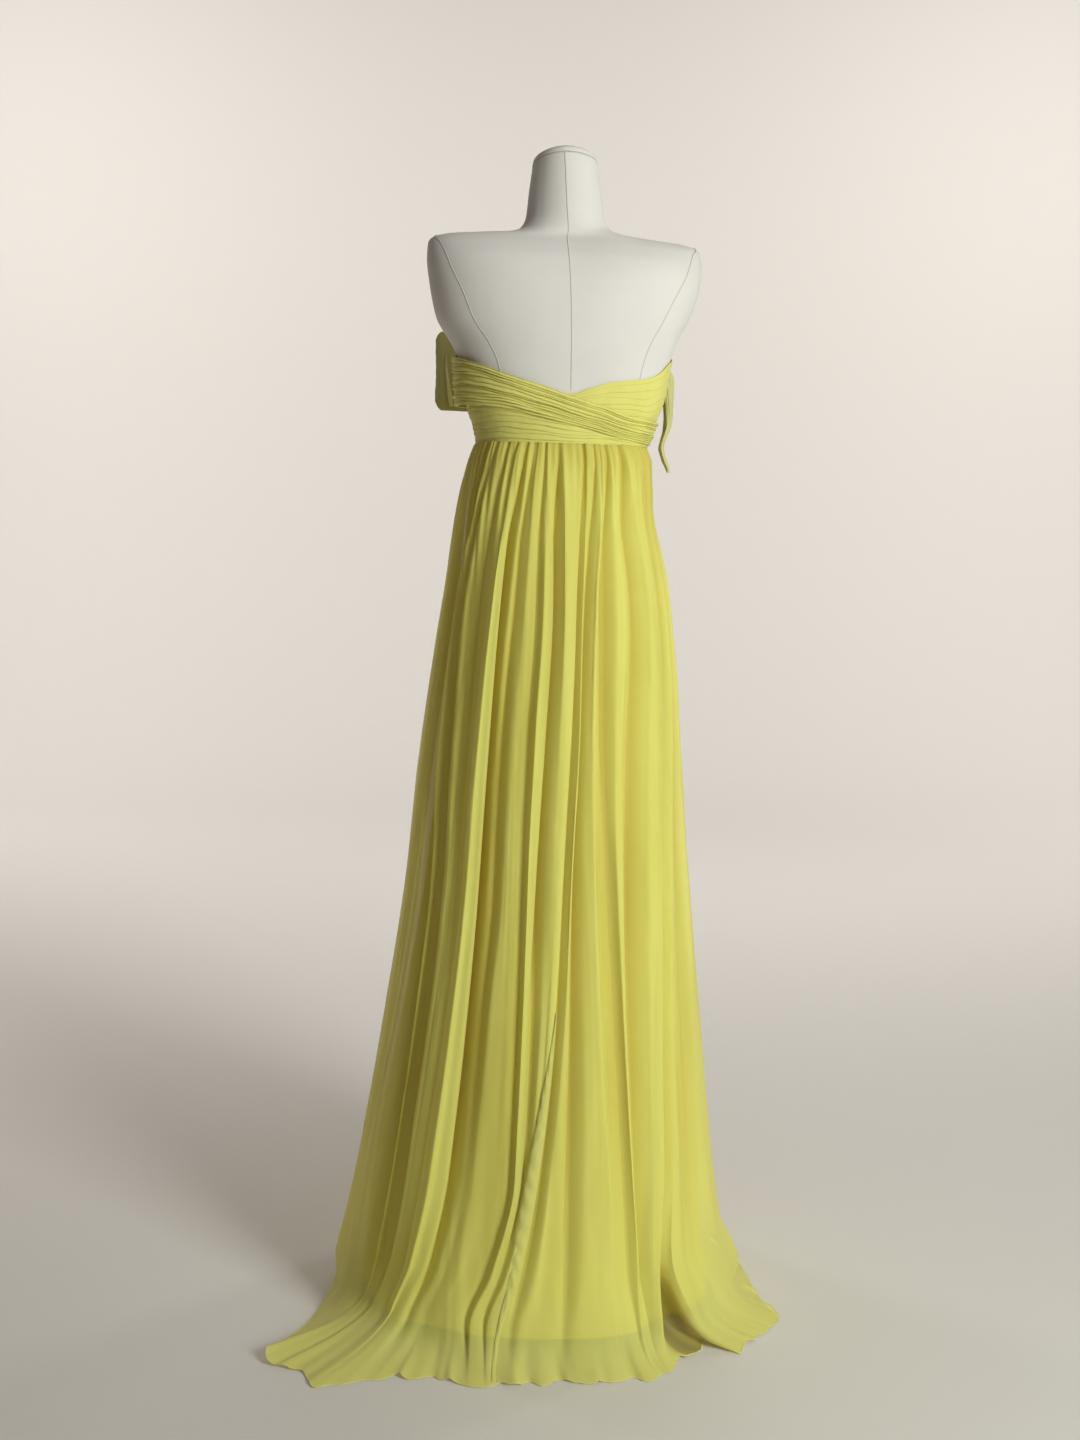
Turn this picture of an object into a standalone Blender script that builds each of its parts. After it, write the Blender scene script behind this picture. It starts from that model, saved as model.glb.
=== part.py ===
"""A strapless empire-line prom dress in pleated chiffon, on a limbless dress form.

Metres, +Z up. The wearer's front faces -Y and the wearer's left is +X. The origin is the
middle of the underside of the form's base. Angles called turn are in degrees round the
body: 0 is the centre back, 90 the wearer's left side, 180 the centre front.
"""

import math

import bmesh
import bpy
import numpy as np

# Cloth and seams
CLOTH = 0.0012
SEAM_GAP = 0.0003
BODICE_EASE = 0.0013
LAYER_GAP = 0.0006
LINING_INSET = 0.008
LINING_CLOTH = 0.0011

# Dress form
FORM_COLUMNS = 36
FORM_BOTTOM = 0.985
NECK_TOP = 1.667
NECK_TILT = 0.22
CAP_HEIGHT = 0.017
BUST_HEIGHT = 1.325
BUST_OUT = 0.068
BUST_DEPTH = 0.024
POLE_RADIUS = 0.0125
BASE_RADIUS = 0.13
BASE_THICKNESS = 0.012
BASE_BEVEL = 0.004

# Height of the section, half width, reach to the back, reach to the front, squareness
FORM_SECTIONS = np.array([
    (0.985, 0.134, 0.086, 0.084, 2.2),
    (1.050, 0.130, 0.084, 0.083, 2.2),
    (1.110, 0.116, 0.078, 0.079, 2.1),
    (1.170, 0.108, 0.075, 0.078, 2.1),
    (1.225, 0.111, 0.080, 0.084, 2.1),
    (1.272, 0.118, 0.086, 0.092, 2.1),
    (1.296, 0.127, 0.089, 0.097, 2.15),
    (1.320, 0.138, 0.092, 0.100, 2.2),
    (1.345, 0.1450, 0.094, 0.100, 2.25),
    (1.385, 0.1525, 0.097, 0.096, 2.25),
    (1.415, 0.162, 0.100, 0.092, 2.2),
    (1.450, 0.180, 0.100, 0.086, 2.2),
    (1.495, 0.195, 0.096, 0.076, 2.3),
    (1.528, 0.199, 0.084, 0.066, 2.4),
    (1.550, 0.1970, 0.066, 0.056, 2.4),
    (1.5605, 0.186, 0.054, 0.050, 2.3),
    (1.5655, 0.140, 0.050, 0.048, 2.1),
    (1.5695, 0.092, 0.050, 0.049, 2.0),
    (1.577, 0.066, 0.051, 0.051, 2.0),
    (1.594, 0.0565, 0.050, 0.052, 2.0),
    (1.630, 0.052, 0.049, 0.050, 2.0),
    (1.667, 0.0465, 0.046, 0.047, 2.0),
])

# Turn and the height there: top edge of the bodice, edges of the back wrap, empire seam
TOP_EDGE = np.array([
    (-180, 1.392), (-165, 1.398), (-140, 1.414), (-115, 1.408), (-90, 1.396), (-70, 1.386),
    (-60, 1.374), (-51, 1.366), (-42, 1.362), (-30, 1.359), (-19, 1.356), (-12, 1.351),
    (-7, 1.347), (0, 1.340), (20, 1.344), (90, 1.394), (115, 1.410), (140, 1.414),
    (165, 1.398), (180, 1.392),
])
WRAP_TOP = np.array([
    (-90, 1.303), (-70, 1.303), (-52, 1.305), (-37, 1.309), (-27, 1.314), (-17, 1.322),
    (-8, 1.328), (0, 1.336), (6, 1.343), (15, 1.352), (26, 1.361), (39, 1.371),
    (53, 1.382), (90, 1.397), (118, 1.401),
])
WRAP_BOTTOM = np.array([
    (-90, 1.2705), (-67, 1.272), (-44, 1.276), (-25, 1.283), (-10, 1.291), (1, 1.298),
    (12, 1.305), (24, 1.312), (33, 1.318), (44, 1.322), (75, 1.328), (118, 1.327),
])
MIDRIFF_TOP = np.array([
    (-180, 1.292), (-90, 1.286), (-67, 1.286), (-44, 1.290), (-25, 1.297), (-10, 1.305),
    (1, 1.312), (12, 1.319), (24, 1.326), (33, 1.331), (52, 1.336), (75, 1.338),
    (90, 1.338), (92, 1.292), (180, 1.292),
])
EMPIRE_SEAM = np.array([
    (-180, 1.246), (-135, 1.250), (-95, 1.262), (-72, 1.268), (-33, 1.269), (2, 1.271),
    (35, 1.273), (66, 1.275), (95, 1.268), (135, 1.250), (180, 1.246),
])

# How often the normals of folded cloth are evened out, how strongly, and the least slope of
# cloth to them that still lengthens the way through the wall
NORMAL_ROUNDS = 6
NORMAL_BIAS = 4.0
STEEPEST = 0.7

# Pleats across each pleated piece, how far they stand out, and the stations along it
MIDRIFF_PLEATS = 5
WRAP_PLEATS = 9
FRONT_PLEATS = 6
RIGHT_PANEL_PLEATS = 5
WRAP_END = 118.0
WRAP_LIFT = 0.012
WRAP_LIFT_TURN = 92.0
WRAP_LIFT_SPREAD = 26.0
FINE_PLEAT = 0.0010
WRAP_PLEAT = 0.0017
STATION_STEP = 10.0

# Skirt: height, reach to the left, right, back and front, and share of the hem's outline
SKIRT_SECTIONS = np.array([
    (1.272, 0.1215, 0.1213, 0.0893, 0.0953, 0.0),
    (1.245, 0.1400, 0.1270, 0.0980, 0.113, 0.0),
    (1.180, 0.1490, 0.1270, 0.1060, 0.126, 0.0),
    (1.080, 0.1630, 0.1400, 0.1180, 0.138, 0.0),
    (0.950, 0.1830, 0.1540, 0.1330, 0.150, 0.0),
    (0.780, 0.2070, 0.1660, 0.1530, 0.160, 0.0),
    (0.600, 0.2300, 0.1815, 0.1780, 0.172, 0.0),
    (0.420, 0.2610, 0.1975, 0.2060, 0.186, 0.0),
    (0.250, 0.2950, 0.2130, 0.2380, 0.200, 0.0),
    (0.110, 0.3200, 0.2270, 0.2720, 0.214, 0.0),
    (0.045, 0.3300, 0.2360, 0.2940, 0.222, 0.06),
    (0.014, 0.3370, 0.2430, 0.3050, 0.226, 0.45),
    (CLOTH, 0.3500, 0.2550, 0.3150, 0.230, 1.0),
])
SKIRT_SQUARENESS = 2.15
SKIRT_STEP = 2.5

# Turn and the reach of the hem's edge from the form's axis, on the floor
HEM = np.array([
    (-180, 0.245), (-150, 0.250), (-120, 0.258), (-90, 0.273), (-72, 0.288), (-64, 0.300),
    (-55, 0.350), (-44, 0.347), (-37, 0.358), (-31, 0.310), (-22, 0.328), (-10, 0.353),
    (-2, 0.347), (12, 0.349), (25, 0.374), (37, 0.382), (42, 0.402), (47, 0.462),
    (51, 0.492), (58, 0.498), (62, 0.500), (66, 0.450), (72, 0.408), (80, 0.374),
    (100, 0.335), (130, 0.295), (158, 0.262), (180, 0.245),
])

# Heights at which the fold table is read
FOLD_HEIGHTS = np.array([1.27, 1.05, 0.63, 0.25, 0.0])

# Folds of the skirt. Turn of the crest at the five heights, width of its left and right
# flank in degrees, and how far it stands out at the five heights
FOLDS = np.array([
    (88, 88, 86, 84, 78, 14, 10, 0.006, 0.010, 0.012, 0.012, 0.008),
    (63, 67, 52, 47, 50, 14, 8, 0.004, 0.007, 0.013, 0.014, 0.005),
    (46, 46, 39, 42, 48, 7, 5, 0.006, 0.011, 0.018, 0.020, 0.008),
    (34, 38, 38, 41, 46, 4, 4, 0.006, 0.005, 0.000, 0.000, 0.000),
    (26, 26, 27, 33, 38, 8, 8, 0.006, 0.011, 0.017, 0.016, 0.005),
    (17, 18, 20, 22, 30, 5, 8, 0.004, 0.002, 0.003, 0.012, 0.005),
    (6, 6, 8, 13, 20, 4, 7, 0.006, 0.014, 0.016, 0.012, 0.003),
    (-5, -4, 1, 5, 9, 3, 3, 0.005, 0.008, 0.008, 0.008, 0.003),
    (-12, -6, -4, -1, 2, 4, 12, 0.006, 0.013, 0.016, 0.014, 0.004),
    (-22, -22, -20, -18, -16, 7, 9, 0.006, 0.010, 0.003, 0.000, 0.000),
    (-31, -28, -26, -24, -20, 4, 9, 0.005, 0.006, 0.010, 0.010, 0.004),
    (-44, -47, -38, -31, -29, 3, 15, 0.006, 0.013, 0.016, 0.020, 0.020),
    (-58, -60, -55, -50, -48, 6, 10, 0.005, 0.008, 0.008, 0.010, 0.008),
    (-80, -81, -80, -76, -72, 9, 9, 0.006, 0.012, 0.012, 0.012, 0.008),
    (-98, -99, -99, -98, -98, 8, 8, 0.006, 0.012, 0.013, 0.013, 0.006),
    (-116, -117, -117, -117, -118, 8, 8, 0.005, 0.010, 0.014, 0.014, 0.006),
    (-133, -134, -135, -136, -137, 9, 7, 0.006, 0.012, 0.013, 0.012, 0.005),
    (-150, -152, -153, -154, -155, 7, 9, 0.005, 0.010, 0.014, 0.014, 0.006),
    (-168, -169, -170, -170, -171, 9, 8, 0.006, 0.012, 0.013, 0.013, 0.005),
    (174, 173, 172, 172, 172, 8, 8, 0.005, 0.010, 0.014, 0.014, 0.006),
    (157, 156, 155, 154, 153, 8, 9, 0.006, 0.012, 0.013, 0.012, 0.005),
    (140, 139, 138, 137, 136, 9, 8, 0.005, 0.010, 0.014, 0.014, 0.006),
    (122, 122, 121, 120, 119, 8, 8, 0.006, 0.012, 0.013, 0.013, 0.005),
    (106, 105, 104, 102, 100, 8, 8, 0.005, 0.010, 0.013, 0.013, 0.006),
])
SEAM_FOLD_WIDTH = 0.9
GATHERS = 36
GATHER_HEIGHT = 0.003
GATHERS_END = 1.13

# Turn of the centre-back seam at the five heights
BACK_SEAM = np.array([0.0, -1.0, 2.5, 11.0, 24.0])

# Bow on the centre front: a knot against the bodice and two loops
BOW_HEIGHT = 1.362
KNOT_BACK = -0.1053
KNOT_WIDTH = 0.034
KNOT_HEIGHT = 0.052
KNOT_DEPTH = 0.026
LOOP_STEPS = 9
LOOP_WIDTH_STEPS = 4

# Stations along a loop: distance from the centre, distance to the front, half the space
# between the layers, half height, share of the rise or droop of its end
LOOP_STATIONS = np.array([
    (0.0167, 0.1183, 0.003, 0.018, 0.00),
    (0.0450, 0.1450, 0.010, 0.030, 0.12),
    (0.0850, 0.1600, 0.018, 0.043, 0.38),
    (0.1300, 0.1520, 0.020, 0.052, 0.70),
    (0.1620, 0.1360, 0.017, 0.057, 0.90),
    (0.1780, 0.1260, 0.009, 0.058, 0.98),
    (0.1820, 0.1230, 0.000, 0.058, 1.00),
])
LEFT_LOOP_RISE = 0.010
RIGHT_LOOP_RISE = -0.048
RIGHT_LOOP_GROWTH = 1.15

CHIFFON = ("chiffon", (0.76, 0.75, 0.20), 0.70, 0.0)
LINING = ("lining", (0.72, 0.70, 0.22), 0.60, 0.0)
FORM_COVER = ("form_cover", (0.80, 0.77, 0.71), 0.60, 0.0)
STEEL = ("form_stand", (0.62, 0.62, 0.62), 0.35, 1.0)


def clear_scene():
    for obj in list(bpy.data.objects):
        bpy.data.objects.remove(obj)


def material(facts):
    """The Principled material of that name, made once."""
    name, colour, roughness, metallic = facts
    found = bpy.data.materials.get(name)
    if found:
        return found
    made = bpy.data.materials.new(name)
    made.use_nodes = True
    shader = made.node_tree.nodes["Principled BSDF"]
    shader.inputs["Base Color"].default_value = (*colour, 1.0)
    shader.inputs["Roughness"].default_value = roughness
    shader.inputs["Metallic"].default_value = metallic
    return made


def add_object(name, mesh, facts):
    mesh.materials.append(material(facts))
    mesh.shade_smooth()
    mesh.set_sharp_from_angle(angle=math.radians(50))
    obj = bpy.data.objects.new(name, mesh)
    bpy.context.scene.collection.objects.link(obj)
    return obj


def smooth_curve(table, at):
    """A soft curve through the rows of a table whose first column rises, read at those places."""
    xs, ys = table[:, 0], table[:, 1:]
    steps = np.diff(xs)[:, None]
    slopes = np.diff(ys, axis=0) / steps
    same_way = slopes[:-1] * slopes[1:] > 0
    sums = np.where(same_way, slopes[:-1] + slopes[1:], 1)
    middle = np.where(same_way, 2 * slopes[:-1] * slopes[1:] / sums, 0)
    tangents = np.vstack([slopes[:1], middle, slopes[-1:]])
    at = np.clip(np.asarray(at, float), xs[0], xs[-1])
    left = np.clip(np.searchsorted(xs, at) - 1, 0, len(xs) - 2)
    span = steps[left]
    t = ((at - xs[left]) / steps[left, 0])[:, None]
    return (
        (1 + 2 * t) * (1 - t) ** 2 * ys[left]
        + t * (1 - t) ** 2 * span * tangents[left]
        + t * t * (3 - 2 * t) * ys[left + 1]
        + t * t * (t - 1) * span * tangents[left + 1]
    )


def height_at(edge, turn):
    """The height of an edge at those turns, which may run past the centre front."""
    wrapped = (np.asarray(turn, float) + 180.0) % 360.0 - 180.0
    return smooth_curve(edge, wrapped)[:, 0]


def rounded(turn, left, right, back, front, squareness):
    """Plan points of a section whose four reaches differ, at those turns."""
    angle = np.radians(turn)
    s, c = np.sin(angle), np.cos(angle)
    x = np.sign(s) * np.abs(s) ** (2 / squareness) * np.where(s > 0, left, right)
    y = np.sign(c) * np.abs(c) ** (2 / squareness) * np.where(c > 0, back, front)
    return x, y


def form_points(turn, height, out=0.0):
    """Points on the form's surface at those turns and heights, moved straight out by that much."""
    turn, height = np.broadcast_arrays(np.asarray(turn, float), np.asarray(height, float))
    half, back, front, squareness = smooth_curve(FORM_SECTIONS, height).T
    angle = np.radians(turn)
    s, c = np.sin(angle), np.cos(angle)
    x = np.sign(s) * np.abs(s) ** (2 / squareness) * half
    y = np.sign(c) * np.abs(c) ** (2 / squareness) * np.where(c > 0, back, front)
    spread = ((np.abs(x) - BUST_OUT) / 0.046) ** 2 + ((height - BUST_HEIGHT) / 0.048) ** 2
    facing = np.clip(-c * 2.0, 0, 1)
    y = y - BUST_DEPTH * np.exp(-spread) * facing
    nx = np.sign(s) * np.abs(s) ** (2 - 2 / squareness) / half
    ny = np.sign(c) * np.abs(c) ** (2 - 2 / squareness) / np.where(c > 0, back, front)
    size = np.hypot(nx, ny)
    return np.stack([x + out * nx / size, y + out * ny / size, height], axis=-1)


def grid_triangles(grid, closed):
    """Corner numbers of a grid's triangles. Each cell is cut along its shorter diagonal."""
    rows, columns = grid.shape[:2]
    spans = np.arange(columns if closed else columns - 1)
    row, column = np.meshgrid(np.arange(rows - 1), spans, indexing="ij")
    after = (column + 1) % columns
    a, b = (row * columns + column).ravel(), (row * columns + after).ravel()
    c, d = b + columns, a + columns
    points = grid.reshape(-1, 3)
    first_way = np.linalg.norm(points[a] - points[c], axis=1)
    other_way = np.linalg.norm(points[b] - points[d], axis=1)
    along_first = np.stack([a, b, c, a, c, d], axis=1)
    along_other = np.stack([a, b, d, b, c, d], axis=1)
    return np.where((first_way <= other_way)[:, None], along_first, along_other).reshape(-1, 3)


def triangle_normals(points, corners):
    a, b, c = (points[corners[:, i]] for i in range(3))
    normals = np.cross(b - a, c - a)
    return normals / np.linalg.norm(normals, axis=1, keepdims=True)


def even_normals(grid, closed=False):
    """Unit normals of a folded grid's points, pointing away from the axis. Each lies as evenly
    as it can between the normals of the triangles round its point."""
    points = grid.reshape(-1, 3)
    corners = grid_triangles(grid, closed)
    flat = triangle_normals(points, corners)
    weights = np.ones(corners.shape)
    for _ in range(NORMAL_ROUNDS):
        total = np.zeros(points.shape)
        for i in range(3):
            np.add.at(total, corners[:, i], flat * weights[:, i, None])
        normals = total / np.linalg.norm(total, axis=1, keepdims=True)
        likeness = (normals[corners] * flat[:, None, :]).sum(axis=-1)
        weights = np.exp(-NORMAL_BIAS * likeness)
    normals = normals.reshape(grid.shape)
    outward = (normals[0, :, :2] * grid[0, :, :2]).sum()
    return normals if outward > 0 else -normals


def through_wall(grid, closed=False):
    """The way through the wall at a grid's points for one unit of thickness. It is longer where
    the triangles round a point are steep, so that the wall is as thick there."""
    normals = even_normals(grid, closed)
    points = grid.reshape(-1, 3)
    corners = grid_triangles(grid, closed)
    flat = triangle_normals(points, corners)
    likeness = np.abs((normals.reshape(-1, 3)[corners] * flat[:, None, :]).sum(axis=-1))
    least = np.ones(len(points))
    np.minimum.at(least, corners, likeness)
    return normals / np.maximum(least, STEEPEST).reshape(*grid.shape[:2], 1)


def rim_triangles(u, v, count):
    """The wall's two triangles along an edge of its outer face. They meet on the line from the
    edge's first row to the inner face's next, so that two panels fit along their seam."""
    if u < v:
        return [(v, u, v + count), (u, u + count, v + count)]
    return [(v, u, u + count), (v, u + count, v + count)]


def wall(name, outer, inner, facts, closed=False):
    """A closed solid between two grids of points, rows by columns. Both of its faces are cut into
    the same triangles. A closed one joins its last column to its first."""
    count = outer.shape[0] * outer.shape[1]
    outside = grid_triangles(outer, closed)
    inside = outside[:, ::-1] + count
    edges = np.concatenate([outside[:, [0, 1]], outside[:, [1, 2]], outside[:, [2, 0]]]).tolist()
    known = {tuple(edge) for edge in edges}
    rims = [rim for u, v in edges if (v, u) not in known for rim in rim_triangles(u, v, count)]
    points = np.concatenate([outer.reshape(-1, 3), inner.reshape(-1, 3)])
    data = bpy.data.meshes.new(name)
    data.from_pydata(points.tolist(), [], outside.tolist() + inside.tolist() + rims)
    mesh = bmesh.new()
    mesh.from_mesh(data)
    bmesh.ops.recalc_face_normals(mesh, faces=mesh.faces)
    mesh.to_mesh(data)
    mesh.free()
    return add_object(name, data, facts)


def stack(name, rings, facts):
    """A closed solid through rings of the same number of points, flat at both ends."""
    mesh = bmesh.new()
    made = [[mesh.verts.new(p) for p in ring] for ring in rings]
    count = len(made[0])
    for low, high in zip(made, made[1:]):
        for i in range(count):
            mesh.faces.new([low[i], low[(i + 1) % count], high[(i + 1) % count], high[i]])
    mesh.faces.new(made[0][::-1])
    mesh.faces.new(made[-1])
    bmesh.ops.recalc_face_normals(mesh, faces=mesh.faces)
    data = bpy.data.meshes.new(name)
    mesh.to_mesh(data)
    mesh.free()
    return add_object(name, data, facts)


def neck_lean(points):
    """Leans the top of the neck, so that its back stands higher than its front."""
    share = np.clip((points[..., 2] - 1.60) / (NECK_TOP - 1.60), 0, 1)
    points[..., 2] += NECK_TILT * points[..., 1] * share
    return points


def form_body():
    turn = np.arange(FORM_COLUMNS) * 360.0 / FORM_COLUMNS
    heights = FORM_SECTIONS[:, 0]
    halfway = (heights[1:] + heights[:-1]) / 2
    worn = (halfway > EMPIRE_SEAM[:, 1].min() - 0.01) & (halfway < TOP_EDGE[:, 1].max() + 0.01)
    heights = np.sort(np.concatenate([heights, halfway[worn]]))
    rings = [neck_lean(form_points(turn, np.full(len(turn), h))) for h in heights]
    stack("form_body", rings, FORM_COVER)


def form_neck_cap():
    """The covered cap that closes the neck: a low dome on the leaning end of the neck."""
    turn = np.arange(FORM_COLUMNS) * 360.0 / FORM_COLUMNS
    rings = []
    for share in (0.0, 0.35, 0.65, 0.85, 0.97):
        ring = form_points(turn, np.full(len(turn), NECK_TOP))
        ring[:, :2] *= math.sqrt(1 - share**2.6)
        ring = neck_lean(ring)
        ring[:, 2] += 2 * SEAM_GAP + CAP_HEIGHT * share
        rings.append(ring)
    stack("form_neck_cap", rings, FORM_COVER)


def turned(name, profile, facts, sides=32):
    """A solid of revolution about Z through (radius, height) points."""
    angle = np.arange(sides) * 2 * math.pi / sides
    rings = []
    for radius, height in profile:
        level = np.full(sides, height)
        rings.append(np.stack([radius * np.cos(angle), radius * np.sin(angle), level], axis=1))
    stack(name, rings, facts)


def form_stand():
    """A round base plate with a broken edge, and the pole from it to the torso."""
    edge = BASE_THICKNESS - BASE_BEVEL
    top = (BASE_RADIUS - BASE_BEVEL, BASE_THICKNESS)
    turned("form_base", [(BASE_RADIUS, 0.0), (BASE_RADIUS, edge), top], STEEL)
    pole_foot, pole_top = BASE_THICKNESS + SEAM_GAP, FORM_BOTTOM - SEAM_GAP
    turned("form_pole", [(POLE_RADIUS, pole_foot), (POLE_RADIUS, pole_top)], STEEL, 16)


def pleat(share, pleats, height):
    """How far the cloth stands out across a pleated piece, from 0 to 1 across."""
    return height * (0.5 - 0.5 * np.cos(2 * math.pi * pleats * share))


def pleated_panel(name, turns, low_edge, high_edge, pleats, depth, layer, low_gap=0.0, lift=0.0):
    """A strip round the form between two edges, pleated along its length on the outside, plain
    inside. A lift carries its lower part off the body at the wearer's left side."""
    inset = math.degrees(SEAM_GAP / 2 / 0.13)
    start, end = turns[0] + inset, turns[1] - inset
    between = np.arange(math.ceil(start / STATION_STEP + 0.2), end / STATION_STEP - 0.2) * STATION_STEP
    ends = np.concatenate([[start], between, [end]])
    across = np.linspace(0, 1, 2 * pleats + 1)
    low = height_at(low_edge, ends) + low_gap
    high = height_at(high_edge, ends)
    heights = low[None, :] + across[:, None] * (high - low)[None, :]
    turn = np.broadcast_to(ends[None, :], heights.shape)
    away = lift * np.exp(-(((ends - WRAP_LIFT_TURN) / WRAP_LIFT_SPREAD) ** 2))
    below = layer + away[None, :] * (1 - 0.85 * across)[:, None]
    out = below + CLOTH + pleat(across, pleats, depth)[:, None]
    shape = heights.shape
    flat_turn, flat_height = turn.ravel(), heights.ravel()
    outer = form_points(flat_turn, flat_height, out.ravel()).reshape(*shape, 3)
    inner = form_points(flat_turn, flat_height, below.ravel()).reshape(*shape, 3)
    wall(name, outer, inner, CHIFFON)


def bodice():
    """Two midriff pieces, the right back panel, the wrap over it and the two fronts."""
    under = BODICE_EASE
    over = BODICE_EASE + CLOTH + FINE_PLEAT + LAYER_GAP
    gap = 3 * SEAM_GAP
    midriff = (EMPIRE_SEAM, MIDRIFF_TOP, MIDRIFF_PLEATS, FINE_PLEAT, under)
    pleated_panel("midriff_back", (-90, 90), *midriff)
    pleated_panel("midriff_front", (92, 268), *midriff)
    right_panel = (MIDRIFF_TOP, TOP_EDGE, RIGHT_PANEL_PLEATS, FINE_PLEAT, under, gap)
    pleated_panel("back_panel_right", (-90, 12), *right_panel)
    wrap = (WRAP_BOTTOM, WRAP_TOP, WRAP_PLEATS, WRAP_PLEAT, over)
    pleated_panel("back_wrap", (-90, WRAP_END), *wrap, lift=WRAP_LIFT)
    front = (MIDRIFF_TOP, TOP_EDGE, FRONT_PLEATS, FINE_PLEAT, under, gap)
    pleated_panel("front_left", (92, 180), *front)
    pleated_panel("front_right", (180, 268), *front)


def fold_height(turn, height):
    """How far folds and gathers stand out at those turns of one height."""
    total = np.zeros(len(turn))
    rise = np.clip((FOLD_HEIGHTS[0] - height) / (FOLD_HEIGHTS[0] - FOLD_HEIGHTS[1]), 0, 1)
    widen = SEAM_FOLD_WIDTH + (1 - SEAM_FOLD_WIDTH) * rise
    stations = FOLD_HEIGHTS[::-1]
    for row in FOLDS:
        crest = np.interp(height, stations, row[4::-1])
        out = np.interp(height, stations, row[:6:-1])
        away = (turn - crest + 180.0) % 360.0 - 180.0
        width = np.where(away > 0, row[5], row[6]) * widen
        total += out * np.clip(1 - (away / width) ** 2, 0, None) ** 2
    near_seam = np.clip((height - GATHERS_END) / (FOLD_HEIGHTS[0] - GATHERS_END), 0, 1)
    total += GATHER_HEIGHT * near_seam * (0.5 - 0.5 * np.cos(np.radians(turn * GATHERS)))
    return total


def skirt_base(turn, row):
    """The skirt's surface without folds: plan section, drop of the seam and spread of the hem."""
    height, left, right, back, front, share = SKIRT_SECTIONS[row]
    x, y = rounded(turn, left, right, back, front, SKIRT_SQUARENESS)
    hem = height_at(HEM, turn)
    angle = np.radians(turn)
    x = x * (1 - share) + hem * np.sin(angle) * share
    y = y * (1 - share) + hem * np.cos(angle) * share
    top = SKIRT_SECTIONS[0, 0]
    fade = np.clip((height - 1.0) / (top - 1.0), 0, 1)
    z = height + (height_at(EMPIRE_SEAM, turn) - top - SEAM_GAP) * fade
    return np.stack([x, y, z], axis=-1)


def folded_surface(turns):
    """The folded skirt through a row of turns for each section, and its plain base."""
    base = np.array([skirt_base(turn, row) for row, turn in enumerate(turns)])
    folds = np.array([fold_height(turn, section[0]) for turn, section in zip(turns, SKIRT_SECTIONS)])
    return base + even_normals(base) * folds[..., None]


def through_seam(seam):
    """The way through the wall along a seam, the same for the panels on both sides of it."""
    turns = seam[:, None] + np.array([-SKIRT_STEP, 0.0, SKIRT_STEP])[None, :]
    return through_wall(folded_surface(turns))[:, 1]


def skirt_panel(name, start_seam, end_seam):
    """One panel of the chiffon skirt, between two seams given by their turns at the five heights."""
    heights = SKIRT_SECTIONS[:, 0]
    start = np.interp(heights, FOLD_HEIGHTS[::-1], start_seam[::-1])
    end = np.interp(heights, FOLD_HEIGHTS[::-1], end_seam[::-1])
    count = round(abs(end_seam[0] - start_seam[0]) / SKIRT_STEP)
    inset = np.degrees(SEAM_GAP / 2 / SKIRT_SECTIONS[:, 1:5].mean(axis=1))
    turns = np.linspace(start + inset, end - inset, count + 1, axis=1)
    outer = folded_surface(turns)
    through = through_wall(outer)
    through[:, 0] = through_seam(start)
    through[:, -1] = through_seam(end)
    inner = outer - through * CLOTH
    outer[..., 2] = np.maximum(outer[..., 2], CLOTH)
    inner[..., 2] = np.maximum(inner[..., 2], 0.0)
    inner[-1, :, 2] = np.minimum(inner[-1, :, 2], outer[-1, :, 2] - CLOTH)
    wall(name, outer, inner, CHIFFON)


def skirt():
    side = np.full(len(BACK_SEAM), 90.0)
    skirt_panel("skirt_back_left", BACK_SEAM, side)
    skirt_panel("skirt_back_right", -side, BACK_SEAM)
    skirt_panel("skirt_front", side, side + 180.0)


def skirt_lining():
    """The plain lining skirt inside the chiffon, which ends just above the floor."""
    turn = np.arange(FORM_COLUMNS) * 360.0 / FORM_COLUMNS
    rows = (0, 1, 2, 4, 6, 8, 9, 10)
    base = np.array([skirt_base(turn, row) for row in rows])
    normals = even_normals(base, closed=True)
    inset = np.array([0.0015, 0.004] + [LINING_INSET] * (len(rows) - 2))[:, None, None]
    outer = base - normals * inset
    outer[0, :, 2] -= 0.001
    inner = outer - through_wall(outer, closed=True) * LINING_CLOTH
    wall("skirt_lining", outer, inner, LINING, closed=True)


def bow_loop(name, side, rise, growth):
    """One loop of the bow: a band out from the knot in front, round its outer fold and back behind."""
    share = np.linspace(0, 1, LOOP_STEPS + 1) ** 0.75
    first, last = LOOP_STATIONS[0, 0], LOOP_STATIONS[-1, 0]
    reach = first + (last - first) * share
    forward, half_space, half_height, lift = smooth_curve(LOOP_STATIONS, reach).T
    layers = [(i, -1) for i in range(LOOP_STEPS + 1)] + [(i, 1) for i in range(LOOP_STEPS - 1, -1, -1)]
    rows = []
    for i, layer in layers:
        y = -forward[i] + layer * half_space[i]
        middle = BOW_HEIGHT + rise * lift[i]
        half = half_height[i] * (1 + (growth - 1) * lift[i])
        across = np.linspace(-half, half, LOOP_WIDTH_STEPS + 1)
        rows.append([(side * reach[i], y, middle + k) for k in across])
    surface = np.array(rows)
    through = through_wall(surface)
    wall(name, surface + through * CLOTH / 2, surface - through * CLOTH / 2, CHIFFON)


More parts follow.
